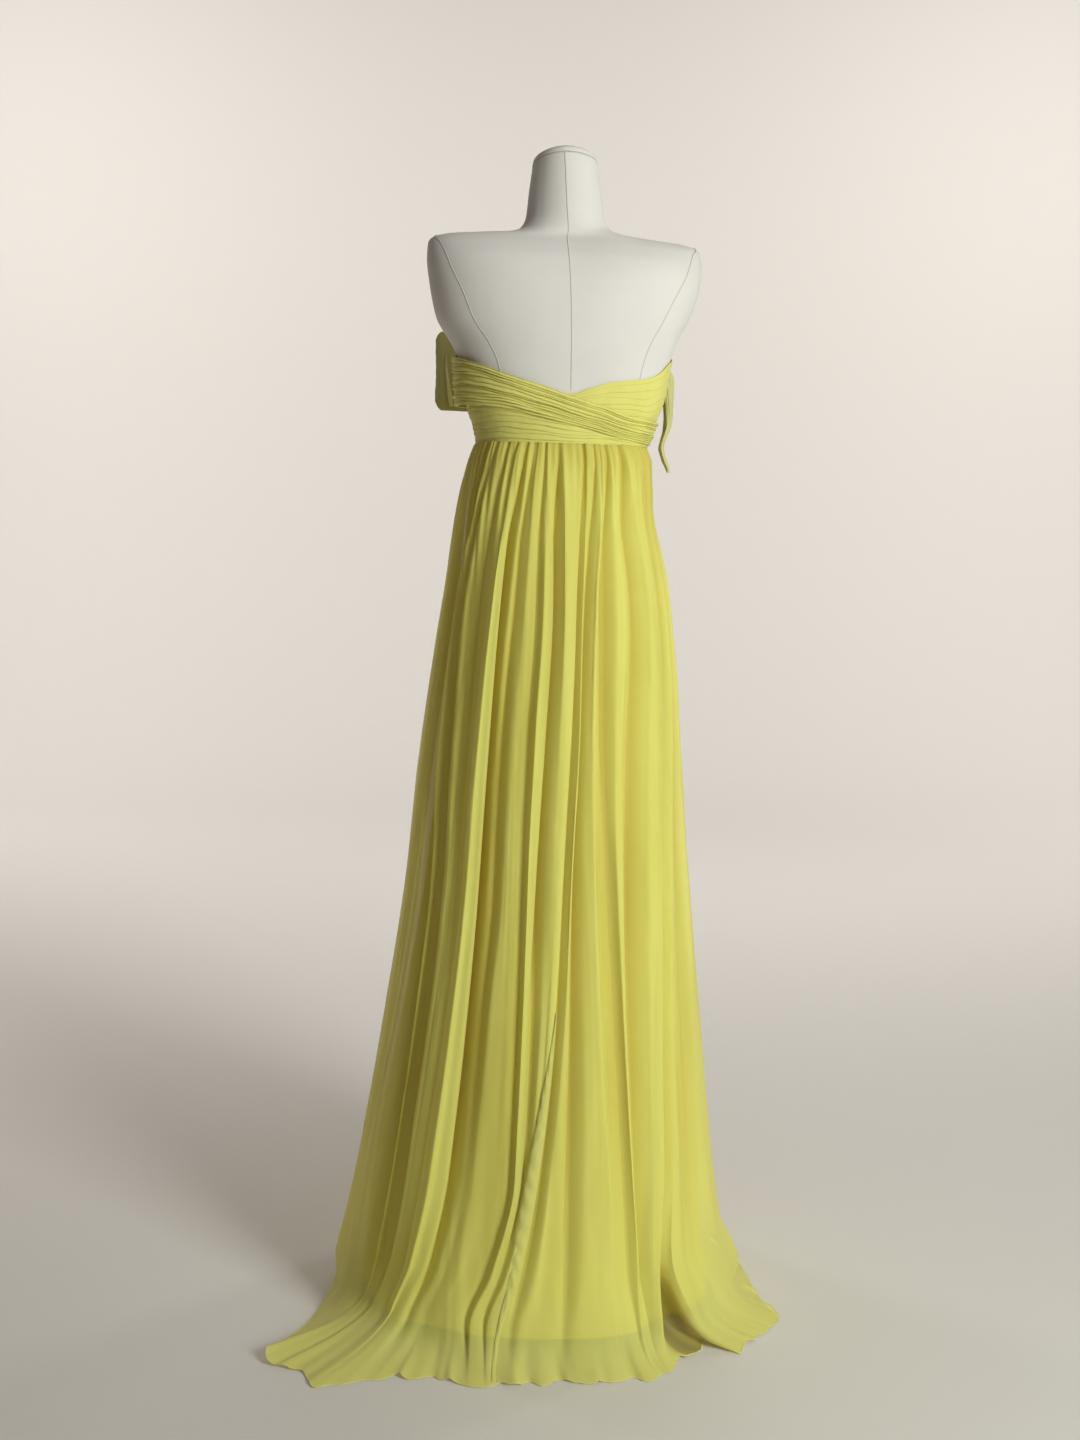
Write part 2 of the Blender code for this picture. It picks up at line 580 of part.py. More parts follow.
def bow():
    bow_loop("bow_loop_left", 1, LEFT_LOOP_RISE, 1.0)
    bow_loop("bow_loop_right", -1, RIGHT_LOOP_RISE, RIGHT_LOOP_GROWTH)
    rings = []
    for share in (-1.0, -0.8, -0.35, 0.35, 0.8, 1.0):
        grow = 1 - 0.35 * abs(share) ** 3
        angle = np.radians(np.arange(16) * 22.5)
        x = KNOT_WIDTH / 2 * grow * np.cos(angle)
        y = KNOT_BACK - KNOT_DEPTH / 2 + KNOT_DEPTH / 2 * grow * np.sin(angle)
        rings.append(np.stack([x, y, np.full(16, BOW_HEIGHT + share * KNOT_HEIGHT / 2)], axis=1))
    stack("bow_knot", rings, CHIFFON)


def main():
    clear_scene()
    form_body()
    form_neck_cap()
    form_stand()
    bodice()
    skirt()
    skirt_lining()
    bow()


main()
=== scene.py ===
"""Looks of the prom dress on its dress form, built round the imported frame.

Metres, +Z up. The wearer's front faces -Y and the wearer's left is +X. Turn is in degrees
round the body: 0 is the centre back, 90 the wearer's left side, 180 the centre front.
"""

import math

import bpy
import numpy as np
from mathutils import Matrix, Vector


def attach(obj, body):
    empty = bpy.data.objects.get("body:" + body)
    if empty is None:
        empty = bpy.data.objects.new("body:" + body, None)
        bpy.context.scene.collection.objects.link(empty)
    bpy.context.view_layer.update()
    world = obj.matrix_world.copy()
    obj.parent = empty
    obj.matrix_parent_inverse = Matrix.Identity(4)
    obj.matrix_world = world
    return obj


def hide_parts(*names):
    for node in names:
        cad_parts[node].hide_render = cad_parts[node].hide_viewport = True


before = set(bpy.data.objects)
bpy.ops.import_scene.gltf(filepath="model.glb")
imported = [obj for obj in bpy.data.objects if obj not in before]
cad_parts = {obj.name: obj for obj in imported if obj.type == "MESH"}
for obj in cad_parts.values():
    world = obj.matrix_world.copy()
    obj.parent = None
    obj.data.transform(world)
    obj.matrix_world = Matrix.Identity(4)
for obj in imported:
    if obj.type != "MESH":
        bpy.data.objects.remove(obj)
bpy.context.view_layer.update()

# Cloth, seams and the gaps between layers
CLOTH = 0.0012
SEAM_GAP = 0.0003
BODICE_EASE = 0.0013
FINE_PLEAT = 0.0010
LAYER_GAP = 0.0008
HEM_ROLL = 0.0008

# Camera: real height and distance from the form's axis, sideways offset, turn round the form
# and tilt down in degrees, and lens
CAMERA_HEIGHT = 1.192
CAMERA_DISTANCE = 2.5
CAMERA_OFFSET = 0.036
CAMERA_TURN = 6.0
CAMERA_TILT = 7.43
CAMERA_LENS = 42.175

# Height of the section, half width, reach to the back, reach to the front, squareness
FORM_SECTIONS = np.array([
    (0.985, 0.134, 0.086, 0.084, 2.2),
    (1.050, 0.130, 0.084, 0.083, 2.2),
    (1.110, 0.116, 0.078, 0.079, 2.1),
    (1.170, 0.108, 0.075, 0.078, 2.1),
    (1.225, 0.111, 0.080, 0.084, 2.1),
    (1.272, 0.118, 0.086, 0.092, 2.1),
    (1.296, 0.127, 0.089, 0.097, 2.15),
    (1.320, 0.138, 0.092, 0.100, 2.2),
    (1.345, 0.1450, 0.094, 0.100, 2.25),
    (1.385, 0.1525, 0.097, 0.096, 2.25),
    (1.415, 0.162, 0.100, 0.092, 2.2),
    (1.450, 0.180, 0.100, 0.086, 2.2),
    (1.495, 0.195, 0.096, 0.076, 2.3),
    (1.528, 0.199, 0.084, 0.066, 2.4),
    (1.550, 0.1970, 0.066, 0.056, 2.4),
    (1.5605, 0.186, 0.054, 0.050, 2.3),
    (1.5655, 0.140, 0.050, 0.048, 2.1),
    (1.5695, 0.092, 0.050, 0.049, 2.0),
    (1.577, 0.066, 0.051, 0.051, 2.0),
    (1.594, 0.0565, 0.050, 0.052, 2.0),
    (1.630, 0.052, 0.049, 0.050, 2.0),
    (1.667, 0.0465, 0.046, 0.047, 2.0),
])

# Neck: its top and foot, its tilt back, the ridge along its back seam with half its width in
# degrees, and the height of its cap
NECK_TOP = 1.667
NECK_FOOT = 1.60
NECK_TILT = 0.22
NECK_RIDGE = 0.0030
NECK_RIDGE_SPREAD = 42
CAP_HEIGHT = 0.017

# Shoulders: the height from which the left one is higher, and by how much for a metre sideways
SHOULDER_FOOT = 1.42
SHOULDER_TILT = 0.034

# Bust: height, distance to each side, depth, and how far it spreads sideways and upwards
BUST_HEIGHT = 1.325
BUST_OUT = 0.068
BUST_DEPTH = 0.024
BUST_SPREAD = (0.046, 0.048)

# Height at which the form is wider on the wearer's left, by how much, and over what height
LEFT_WIDER = ((1.268, 0.0085, 0.030), (1.445, 0.0060, 0.032))

# Edges of the bodice's pieces: turn and the height there
TOP_EDGE = np.array([
    (-180, 1.392), (-165, 1.398), (-140, 1.414), (-115, 1.408), (-90, 1.396), (-70, 1.386),
    (-60, 1.374), (-51, 1.366), (-42, 1.362), (-30, 1.359), (-19, 1.356), (-12, 1.351),
    (-7, 1.347), (0, 1.340), (20, 1.344), (90, 1.394), (115, 1.410), (140, 1.414),
    (165, 1.398), (180, 1.392),
])
WRAP_TOP = np.array([
    (-90, 1.303), (-70, 1.303), (-52, 1.305), (-37, 1.309), (-27, 1.314), (-17, 1.322),
    (-8, 1.328), (0, 1.336), (6, 1.343), (15, 1.352), (26, 1.361), (39, 1.371),
    (53, 1.382), (90, 1.397), (118, 1.401),
])
WRAP_BOTTOM = np.array([
    (-90, 1.2705), (-67, 1.272), (-44, 1.276), (-25, 1.283), (-10, 1.291), (1, 1.298),
    (12, 1.305), (24, 1.312), (33, 1.318), (44, 1.322), (75, 1.328), (118, 1.327),
])
MIDRIFF_TOP = np.array([
    (-180, 1.292), (-90, 1.286), (-67, 1.286), (-44, 1.290), (-25, 1.297), (-10, 1.305),
    (1, 1.312), (12, 1.319), (24, 1.326), (33, 1.331), (52, 1.336), (75, 1.338),
    (90, 1.338), (92, 1.292), (180, 1.292),
])
EMPIRE_SEAM = np.array([
    (-180, 1.246), (-135, 1.250), (-95, 1.262), (-72, 1.268), (-33, 1.269), (2, 1.271),
    (35, 1.273), (66, 1.275), (95, 1.268), (135, 1.250), (180, 1.246),
])

# Turn where the wrap ends on the front, and how far it stands off near the left side seam: the
# distance, the turn where that is greatest, and the degrees it spreads over
WRAP_END = 118.0
WRAP_LIFT = 0.012
WRAP_LIFT_TURN = 92.0
WRAP_LIFT_SPREAD = 26.0

# Radius of the bodice at its side seams
SIDE_RADIUS = 0.13

# Pleats: degrees between columns, and how far their edges wander as a share of their width
PLEAT_COLUMN = 0.8
PLEAT_WANDER = 0.36

# Skirt: height, reach to the left, right, back and front, and share of the hem's outline
SKIRT_SECTIONS = np.array([
    (1.272, 0.1300, 0.1213, 0.0893, 0.0953, 0.0),
    (1.245, 0.1375, 0.1270, 0.0980, 0.113, 0.0),
    (1.180, 0.1495, 0.1270, 0.1060, 0.126, 0.0),
    (1.080, 0.1630, 0.1400, 0.1180, 0.138, 0.0),
    (0.950, 0.1830, 0.1540, 0.1330, 0.150, 0.0),
    (0.780, 0.2070, 0.1660, 0.1530, 0.160, 0.0),
    (0.600, 0.2300, 0.1815, 0.1780, 0.172, 0.0),
    (0.420, 0.2610, 0.1975, 0.2060, 0.186, 0.0),
    (0.250, 0.2950, 0.2130, 0.2380, 0.200, 0.0),
    (0.110, 0.3200, 0.2270, 0.2720, 0.214, 0.0),
    (0.045, 0.3300, 0.2360, 0.2940, 0.222, 0.06),
    (0.014, 0.3370, 0.2430, 0.3050, 0.226, 0.45),
    (CLOTH, 0.3500, 0.2550, 0.3150, 0.230, 1.0),
])
SKIRT_SQUARENESS = 2.15
SKIRT_TOP = SKIRT_SECTIONS[0, 0]
SKIRT_TABLE = np.column_stack([np.arange(len(SKIRT_SECTIONS)), SKIRT_SECTIONS])

# Height above which the rows bend towards the empire seam, and the hem's mean reach at the back
BEND_FROM = 1.0
BACK_HEM = 0.36

# Row of the skirt's sections, and how far the lining lies inside the skirt there
LINING_INSETS = (
    (0, 0.0018), (1, 0.0032), (2, 0.0075), (3, 0.012), (4, 0.015), (8, 0.015), (9.5, 0.022),
)

# Row where the lining's hem lies
LINING_HEM_ROW = 10.1

# Turn and the reach of the hem's edge from the form's axis, on the floor
HEM = np.array([
    (-180, 0.245), (-150, 0.250), (-120, 0.258), (-100, 0.268), (-90, 0.276), (-80, 0.284),
    (-72, 0.294), (-66, 0.308), (-62, 0.328), (-58, 0.350), (-55, 0.354), (-51.8, 0.350),
    (-48.8, 0.353), (-46.7, 0.346), (-43.8, 0.352), (-42.5, 0.345), (-39, 0.353),
    (-37.4, 0.359), (-36.9, 0.357), (-35.8, 0.298), (-33, 0.308), (-29.7, 0.321),
    (-27.8, 0.318), (-25.6, 0.323), (-24.3, 0.317), (-20.9, 0.333), (-18, 0.345),
    (-16.5, 0.343), (-14.5, 0.351), (-12.9, 0.354), (-11.5, 0.352), (-10.6, 0.342),
    (-9.3, 0.339), (-7.8, 0.342), (-4.8, 0.346), (-2.1, 0.341), (-0.7, 0.345),
    (4.7, 0.340), (7.5, 0.332), (8.9, 0.339), (11.5, 0.350), (12.9, 0.346), (14.3, 0.341),
    (16.7, 0.356), (18, 0.358), (20.7, 0.353), (22.8, 0.368), (26.6, 0.374), (32, 0.372),
    (33.6, 0.374), (35.1, 0.371), (37.9, 0.390), (40.1, 0.398), (41.6, 0.395),
    (43.4, 0.419), (45.7, 0.434), (47.3, 0.459), (48.6, 0.469), (50.2, 0.492),
    (52.9, 0.484), (55.4, 0.478), (57.5, 0.489), (59.2, 0.499), (61, 0.507), (63.3, 0.496),
    (66, 0.470), (69.2, 0.430), (74, 0.396), (80, 0.372), (90, 0.352), (100, 0.335),
    (130, 0.295), (158, 0.262), (180, 0.245),
])

# Heights at which the lines of the folds are read
FOLD_HEIGHTS = np.array([1.27, 1.20, 1.05, 0.85, 0.65, 0.45, 0.25, 0.12, 0.05, 0.0])

# Crests and valleys of the folds across the back, from the wearer's left side to the right:
# the turn at each height, then how far the cloth stands out there in millimetres
SIDE_LEFT = ((90,) * 10, (1, 8, 12, 14, 14, 12.5, 10, 15, 21, 0))
SIDE_RIGHT = ((-90,) * 10, (-2, -2, 9, 8.5, 10, 10, 9, 11, 20, 0))
BACK_LINES = [
    ((84, 82, 84, 82, 78, 76, 75, 76, 76, 76), (2, 8, 12, 13.5, 13, 12, 10, 13, 15, 0)),
    ((57.2, 59, 71.5, 70, 63, 61, 60, 62, 64, 66), (-1, 1, 2, 4, 4, 4, 3, 3, 3, 0)),
    ((53, 55.3, 64.6, 59.3, 55, 55, 55, 57, 60, 61.5), (2, 7, 9, 9, 8.5, 8, 7, 6, 5, 0)),
    ((51.2, 53.8, 62.8, 57.4, 53.2, 52.6, 52.6, 54.6, 58.5, 60), (-1, 2, 4, 4.5, 6, 7, 6, 6, 5, 0)),
    ((46.3, 48.5, 55, 50, 49, 49.4, 50, 52.4, 56.5, 58.5), (3, 6, 5, 7, 9, 11, 11.5, 11, 8, 0)),
    ((40.5, 41.8, 46, 45, 45.4, 47.2, 48.2, 50.6, 54.6, 57), (0, 4, 7, 10.5, 13.5, 16, 16, 15, 10, 0)),
    ((36.2, 38.6, 42.2, 42.4, 42.8, 44.4, 45.4, 47.8, 52, 54.5), (3.5, 11, 17, 20, 21, 21, 21, 19, 12, 0)),
    ((33.6, 35.6, 39.2, 39.8, 40.4, 41.4, 42.4, 45.6, 50.6, 52),
     (-1, 6, 15, 19.5, 20.5, 20.5, 20.5, 18.5, 11.6, 0)),
    ((28.6, 30.9, 34.0, 34.6, 35.2, 35.4, 36.2, 40.4, 46.4, 48.4),
     (3.5, 11, 16, 18.5, 19.5, 19.5, 19.5, 17.5, 11, 0)),
    ((26.4, 28.9, 32.6, 33.0, 33.8, 34.1, 34.9, 38.9, 44.8, 47), (-1, 1, -2, -5, -6, -6, -5, 0, 2, 0)),
    ((24.4, 25.4, 28.6, 30.0, 30.2, 30.8, 31.8, 36, 42, 43), (3, 6, 2, -4, -5, -5.5, -4, 0.6, 2.8, 0)),
    ((22, 23.4, 25.6, 27.2, 27.2, 29.4, 30.4, 34, 39.5, 40), (-1, 2, 0, -3, -4, -4, -1, 2, 2.4, 0)),
    ((19.6, 21, 22, 24.6, 25, 27.6, 28.2, 31, 35.5, 36), (3, 9, 10, 10, 11, 9, 8, 8, 6, 0)),
    ((17, 17.2, 17.6, 19.5, 19.9, 18.2, 18.6, 24.8, 30.5, 31), (4, 12, 15, 15, 15.5, 14, 14, 12, 8, 0)),
    ((15, 14.8, 14.8, 16.6, 17.4, 17.2, 17.4, 22.6, 28, 27.8), (0, 6, 10, 12, 12.5, 13, 13, 9, 1, 0)),
    ((10.4, 8.8, 7.6, 10.3, 13.2, 15.2, 15.6, 20.8, 25.4, 24.8), (3.5, 11, 14, 16, 17, 15, 14.5, 12, 8, 0)),
    ((7.6, 6.7, 6.2, 8.8, 11.6, 12.6, 14, 18.8, 23.4, 23.4), (-1, 0, -2, -3, -3, 7, 9, 7, 2, 0)),
    ((4, 4.2, 4, 5.6, 7.8, 9.6, 12.4, 17, 21.8, 22.4), (3, 11, 13, 14, 14, 12, 11, 8, 5, 0)),
    ((-3.6, -4, -1.4, 1.6, 4.4, 6.8, 10.8, 15.2, 19.6, 21.6), (3.5, 12, 16, 18, 18, 17, 14, 10, 6, 0)),
    ((-6, -5.7, -3.2, 0.2, 3.1, 5.5, 8.9, 12.8, 16.6, 18), (-1, 3, 4, 6, 5, 5, 2, 2, 2, 0)),
    ((-11, -10.8, -6, -2.2, 1.2, 2.1, 3.4, 4.6, 7, 9), (3, 9, 9, 12, 13, 13.5, 13, 11, 7, 0)),
    ((-12.8, -12.4, -7.5, -3.3, -0.3, 0.7, 1.8, 2.6, 4.5, 6), (-1, 3, 4, 2, -3, -3, -2, 0, 2, 0)),
    ((-13.8, -13.5, -8.6, -4.5, -2.4, -1.6, -0.6, 0.4, 2, 3), (2, 7, 8, 5, 4, 5, 5, 5, 4, 0)),
    ((-15.2, -15.2, -10.2, -6.8, -6.2, -6.6, -8.2, -8.6, -8, -7), (4, 11, 14, 14, 14, 14, 13, 11, 7, 0)),
    ((-19.3, -18.9, -13.2, -10.5, -10.4, -12, -13, -13.5, -13, -12),
     (3, 12, 14, 14.5, 14, 14.5, 13.5, 11, 7, 0)),
    ((-21, -20.6, -17.6, -14.6, -13.9, -14.8, -15.6, -16.2, -16, -15), (-1, 1, 2, 3, 11, 14, 13.2, 10, 6, 0)),
    ((-24, -23.2, -24.4, -20.4, -17.9, -16.8, -16.6, -17.2, -17.2, -16),
     (3, 10, 12, 13, 15, 15, 14, 10, 6.5, 0)),
    ((-29.3, -29.6, -33.4, -26.6, -21.6, -18.6, -18, -18.4, -18.4, -17),
     (3.5, 12, 16, 14, 14, 14.5, 13.2, 10, 6.5, 0)),
    ((-31.6, -33.6, -36.6, -30.6, -25.4, -22.4, -20.6, -20.4, -20.2, -18), (-1, 1, 2, 2, 1, 2, 4, 4, 4, 0)),
    ((-34.6, -38.8, -43.4, -37.6, -31.6, -28, -25, -22.4, -21.6, -19), (3, 10, 14, 14, 15, 14, 13, 11, 7, 0)),
    ((-50, -55, -56.6, -50.4, -40.8, -33.8, -29.8, -25, -23.2, -20.4), (2, 6, 14, 17, 18, 20, 21, 18, 12, 0)),
    ((-53, -58, -60.4, -52.6, -42.6, -35.6, -31.2, -25.5, -28.0, -27), (0, 3, 9, 11, 12, 8, 5, -5, -20, 0)),
    ((-55, -60, -62, -54, -44.6, -37.6, -32.6, -26.0, -31.4, -35.8),
     (0, 3, 9.5, 11.5, 12.5, 8.5, 6, -9, -30, 0)),
    ((-58, -62.5, -64.4, -58, -49, -42.4, -36, -26.6, -32.2, -36.9), (1, 4, 11, 13, 14, 13, 12, 12, 17, 0)),
    ((-64, -66.5, -67, -61.4, -52.4, -46.6, -42, -40, -42, -44), (1, 3, 12, 13.5, 15, 15, 14, 14, 16, 0)),
    ((-70, -71.5, -71.5, -66, -57, -52, -49, -48, -49.5, -50), (-1, 0, 8, 9, 10, 10, 10, 11, 15, 0)),
    ((-80, -80, -80, -78, -74, -72, -70, -70, -70, -70), (-2, -2, 10.5, 9, 11, 11, 10, 13, 28, 0)),
]

# The row of those that the centre-back seam follows
SEAM_LINE = 18

# The opening under the fold at the right: its turn, half its width, the height it ends at and
# fades over, how far the lining draws back in it, and how much darker its painted shadow is
OPENING_TURN = -30.0
OPENING_SPREAD = 6.0
OPENING_TOP = 0.15
OPENING_FADE = 0.06
OPENING_DEPTH = 0.028
OPENING_PAINTED_SHADE = 0.022

# Room kept between the chiffon and its lining, and between the lining and the torso
OVER_LINING = 0.0010
CLEAR_OF_FORM = 0.0012

# Distances over which the folds' shaping grows in under the seam and goes out over the floor
SHAPED_UNDER = 0.15
SHAPED_OVER = 0.12

# A fold's long face: its length as a share of its width at the top of the skirt, what that
# share grows by to the floor, its longest, the share where it turns, and how steeply
FACE_SHARE = 0.11
FACE_GROWTH = 0.17
LONGEST_FACE = 0.036
FACE_MIDDLE = 0.42
FOLD_TILT = 0.42

# A wide fold whose crest lies far along gets one more line near its start
FAR_CREST = 0.3
MORE_AT = 0.22

# The roll at a fold's sharp edge: its width in degrees, its share of the face, its rise and
# the edge's drop, and the widest and the shallowest valley that has one
ROLL_WIDTH = 3.8
ROLL_SHARE = 0.75
ROLL_RISE = 0.001
ROLL_DROP = 0.28
SHARP_WIDTH = 5.0
SHARP_DROP = 0.003

# How much deeper a valley lies, the least height of the crest before it for that, and how far
# under that crest it lies at least
VALLEY_DEEPER = 0.0062
LOW_CREST = 0.0025
VALLEY_UNDER = 0.004

# For the shade painted into the cloth's valleys: its reach at its deepest and at a high crest,
# and the height from which the painted shade is full
DEEPEST_REACH = -0.028
CREST_REACH = 0.014
PAINTED_SHADE_FULL_FROM = 0.35

# Gathers under the seam: how many, their lengths, and the share of each length
GATHERS = 84
GATHER_LENGTHS = (0.04, 0.07, 0.12, 0.22)
GATHER_SHARES = (0.3, 0.3, 0.25, 0.15)

# Where the hem's edge curls up: turn, half the width in degrees, height
HEM_CURLS = ((62.5, 2.6, 0.012), (41.0, 1.2, 0.006))

# Turns of the front's crests, and how far crests and valleys stand out there at the same
# heights, in millimetres
FRONT_CRESTS = (-98, -116, -133, -150, -168, -186, -203, -220, -238, -254)
CREST_OUT = np.array((3, 10, 12, 13, 13, 12.5, 12, 12, 10, 0))
VALLEY_OUT = np.array((-1, 0, 1, 1, 1, 1, 2, 3, 3, 0))

# How much steeper than its faces a fold runs into a valley, and the least turn between lines
VALLEY_SHARPNESS = 1.35
LEAST_APART = 0.3

# How much cloth that lies deeper than a given reach is drawn sideways under the next fold: on
# the back up to a turn, below a height and above the floor, each with what it fades over
FOLD_LEAN = 0.75
LEAN_FROM = 0.011
LEAN_TURN = (68, 14)
LEAN_TOP = (1.24, 0.1)
LEAN_OVER = 0.10

# Height under which the cloth has soft waves, and the distance they grow in over
WAVES_TOP = (1.20, 0.4)

# Height over which the cloth settles flat on the floor
NEAR_FLOOR = 0.03

# Least share of its rectangle that a flared skirt panel fills when laid flat
LEAST_FILLED = 0.31

# Height and width in degrees of the seam allowance at the centre back
ALLOWANCE = np.array([
    (0.003, 0.7), (0.05, 1.1), (0.08, 1.8), (0.13, 3.2), (0.19, 3.5), (0.26, 3.3), (0.35, 2.4),
    (0.42, 1.3), (0.48, 0.2),
])

# Bow: its height and its knot, and its thickness
BOW_HEIGHT = 1.362
KNOT_BACK = -0.1053
KNOT_WIDTH = 0.034
KNOT_HEIGHT = 0.052
KNOT_DEPTH = 0.026
LOOP_CLOTH = 0.0008

# Loops of the bow: distance from the centre, distance to the front, half the space between the
# layers, half height, height of the middle
LEFT_LOOP = np.array([
    (0.0167, 0.1183, 0.003, 0.018, 1.362),
    (0.0450, 0.1450, 0.010, 0.030, 1.365),
    (0.0850, 0.1600, 0.018, 0.043, 1.372),
    (0.1300, 0.1520, 0.020, 0.052, 1.380),
    (0.1600, 0.1370, 0.015, 0.057, 1.385),
    (0.1720, 0.1300, 0.012, 0.058, 1.386),
    (0.1780, 0.1260, 0.008, 0.054, 1.386),
    (0.1820, 0.1230, 0.000, 0.046, 1.386),
])
RIGHT_LOOP = np.array([
    (0.0167, 0.1183, 0.003, 0.018, 1.362),
    (0.0450, 0.1450, 0.010, 0.028, 1.362),
    (0.0850, 0.1600, 0.017, 0.036, 1.361),
    (0.1300, 0.1520, 0.019, 0.040, 1.358),
    (0.1480, 0.1430, 0.018, 0.032, 1.362),
    (0.1600, 0.1370, 0.015, 0.020, 1.374),
    (0.1690, 0.1315, 0.012, 0.022, 1.371),
    (0.1730, 0.1285, 0.010, 0.040, 1.352),
    (0.1755, 0.1265, 0.008, 0.068, 1.321),
    (0.1785, 0.1250, 0.006, 0.076, 1.309),
    (0.1805, 0.1240, 0.004, 0.066, 1.312),
    (0.1820, 0.1230, 0.000, 0.040, 1.322),
])

# Turned edge of the left loop: share from its foot up, distance from the centre, distance to
# the front, height, half width
LOOP_EDGE = np.array([
    (0.00, 0.1590, 0.1170, 1.3330, 0.0030),
    (0.15, 0.1605, 0.1165, 1.3440, 0.0036),
    (0.50, 0.1640, 0.1165, 1.3700, 0.0026),
    (0.85, 0.1665, 0.1170, 1.3980, 0.0012),
    (1.00, 0.1660, 0.1175, 1.4100, 0.0005),
])

# The drooping end of the right loop: height of the middle of its bulge, depth and height, and
# the distance from the centre where it starts, with what it grows in over
LOOP_BULGE = (1.272, 0.013, 0.026)
LOOP_DROOP = (0.166, 0.010)

# Seam of the form's side panel: turn and height
SIDE_SEAM = np.array([
    (84, 1.560), (66, 1.549), (58.5, 1.530), (54, 1.505), (50, 1.482), (47.5, 1.456),
    (45.5, 1.430), (43.5, 1.412), (41, 1.392), (39.5, 1.370), (38, 1.345), (36, 1.300),
])


def soft_slopes(before, after):
    """Slopes at the rows between two others, so that a curve doesn't pass its rows."""
    same_way = before * after > 0
    sums = np.where(same_way, before + after, 1)
    return np.where(same_way, 2 * before * after / sums, 0)


def curve_between(t, span, start, leaving, end, arriving):
    """The curve from start to end at share t of the span, by its slopes leaving and arriving."""
    return (
        (1 + 2 * t) * (1 - t) ** 2 * start
        + t * (1 - t) ** 2 * span * leaving
        + t * t * (3 - 2 * t) * end
        + t * t * (t - 1) * span * arriving
    )


def smooth_curve(table, at):
    """A soft curve through the rows of a table whose first column rises, read at those places."""
    xs, ys = table[:, 0], table[:, 1:]
    steps = np.diff(xs)[:, None]
    slopes = np.diff(ys, axis=0) / steps
    tangents = np.vstack([slopes[:1], soft_slopes(slopes[:-1], slopes[1:]), slopes[-1:]])
    at = np.clip(np.asarray(at, float), xs[0], xs[-1])
    left = np.clip(np.searchsorted(xs, at) - 1, 0, len(xs) - 2)
    t = ((at - xs[left]) / steps[left, 0])[:, None]
    return curve_between(t, steps[left], ys[left], tangents[left], ys[left + 1], tangents[left + 1])


def half_turn(turn):
    """The same turn between -180 and 180 degrees."""
    return (turn + 180.0) % 360.0 - 180.0


def unit(vectors):
    return vectors / np.maximum(np.linalg.norm(vectors, axis=-1, keepdims=True), 1e-12)


def spans(grid, axis):
    """Distances from each point of a grid to the next."""
    return np.linalg.norm(np.diff(grid, axis=axis), axis=-1)


def height_at(edge, turn):
    """The height of an edge at those turns, which may run past the centre front."""
    turn = np.asarray(turn, float)
    return smooth_curve(edge, half_turn(turn.ravel()))[:, 0].reshape(turn.shape)


def power(value, exponent):
    return np.sign(value) * np.abs(value) ** exponent


def fade(distance, over):
    """Share, 0 to 1, that a distance is of the one it fades over."""
    return np.clip(distance / over, 0, 1)


def bell(value, middle, spread):
    return np.exp(-(((value - middle) / spread) ** 2))


def form_sections(height):
    """Half width, reach to the back, reach to the front and squareness at those heights."""
    sections = smooth_curve(FORM_SECTIONS, height.ravel()).reshape(*height.shape, 4)
    return np.moveaxis(sections, -1, 0)


def form_points(turn, height, out=0.0):
    """Points on the form's surface at those turns and heights, moved straight out by that much."""
    turn, height = np.broadcast_arrays(np.asarray(turn, float), np.asarray(height, float))
    half, back, front, squareness = form_sections(height)
    angle = np.radians(turn)
    s, c = np.sin(angle), np.cos(angle)
    for middle, wider, spread in LEFT_WIDER:
        half = half + np.where(s > 0, wider, 0) * bell(height, middle, spread)
    reach = np.where(c > 0, back, front)
    x = power(s, 2 / squareness) * half
    y = power(c, 2 / squareness) * reach
    wide, high = BUST_SPREAD
    away = ((np.abs(x) - BUST_OUT) / wide) ** 2 + ((height - BUST_HEIGHT) / high) ** 2
    y = y - BUST_DEPTH * np.exp(-away) * np.clip(-c * 2.0, 0, 1)
    nx = power(s, 2 - 2 / squareness) / half
    ny = power(c, 2 - 2 / squareness) / reach
    size = np.hypot(nx, ny)
    return np.stack([x + out * nx / size, y + out * ny / size, height], axis=-1)


def neck_lean(points):
    """Leans the neck's top back, and sets the left shoulder a little higher than the right one."""
    up_neck = fade(points[..., 2] - NECK_FOOT, NECK_TOP - NECK_FOOT)
    up_chest = fade(points[..., 2] - SHOULDER_FOOT, 0.10)
    sideways = fade(np.abs(points[..., 0]) - 0.05, 0.05)
    points[..., 2] += NECK_TILT * points[..., 1] * up_neck
    points[..., 2] += SHOULDER_TILT * points[..., 0] * (up_chest * sideways)
    return points


def neck_seam_turn(height):
    """Turn of the seam that runs up the back of the form."""
    return np.interp(height, (1.57, 1.60, 1.667), (0.5, 3.0, 7.0))


def neck_ridge(turn, height):
    """How far the neck stands out along its back seam."""
    away = np.abs(half_turn(turn - neck_seam_turn(height)))
    return NECK_RIDGE * np.clip(1 - away / NECK_RIDGE_SPREAD, 0, 1) * fade(height - 1.575, 0.02)


def ripples(seed, across, along, x, y, waves=14):
    """A smooth random height, about -1 to 1, whose bumps are about that wide and that long."""
    rng = np.random.default_rng(seed)
    total = np.zeros(np.broadcast(x, y).shape)
    for _ in range(waves):
        kx = rng.normal() / across * 2.2
        ky = rng.normal() / along * 2.2
        total += np.sin(kx * x + ky * y + rng.uniform(0, 2 * math.pi))
    return total / math.sqrt(waves) / 1.3


def grid_normals(grid):
    """Unit normals of a grid of points, pointing away from the axis."""
    down = np.gradient(grid, axis=0)
    across = np.gradient(grid, axis=1)
    normal = unit(np.cross(across, down))
    middle = grid.shape[0] // 3
    outward = (normal[middle] * grid[middle])[:, :2].sum()
    return normal if outward > 0 else -normal


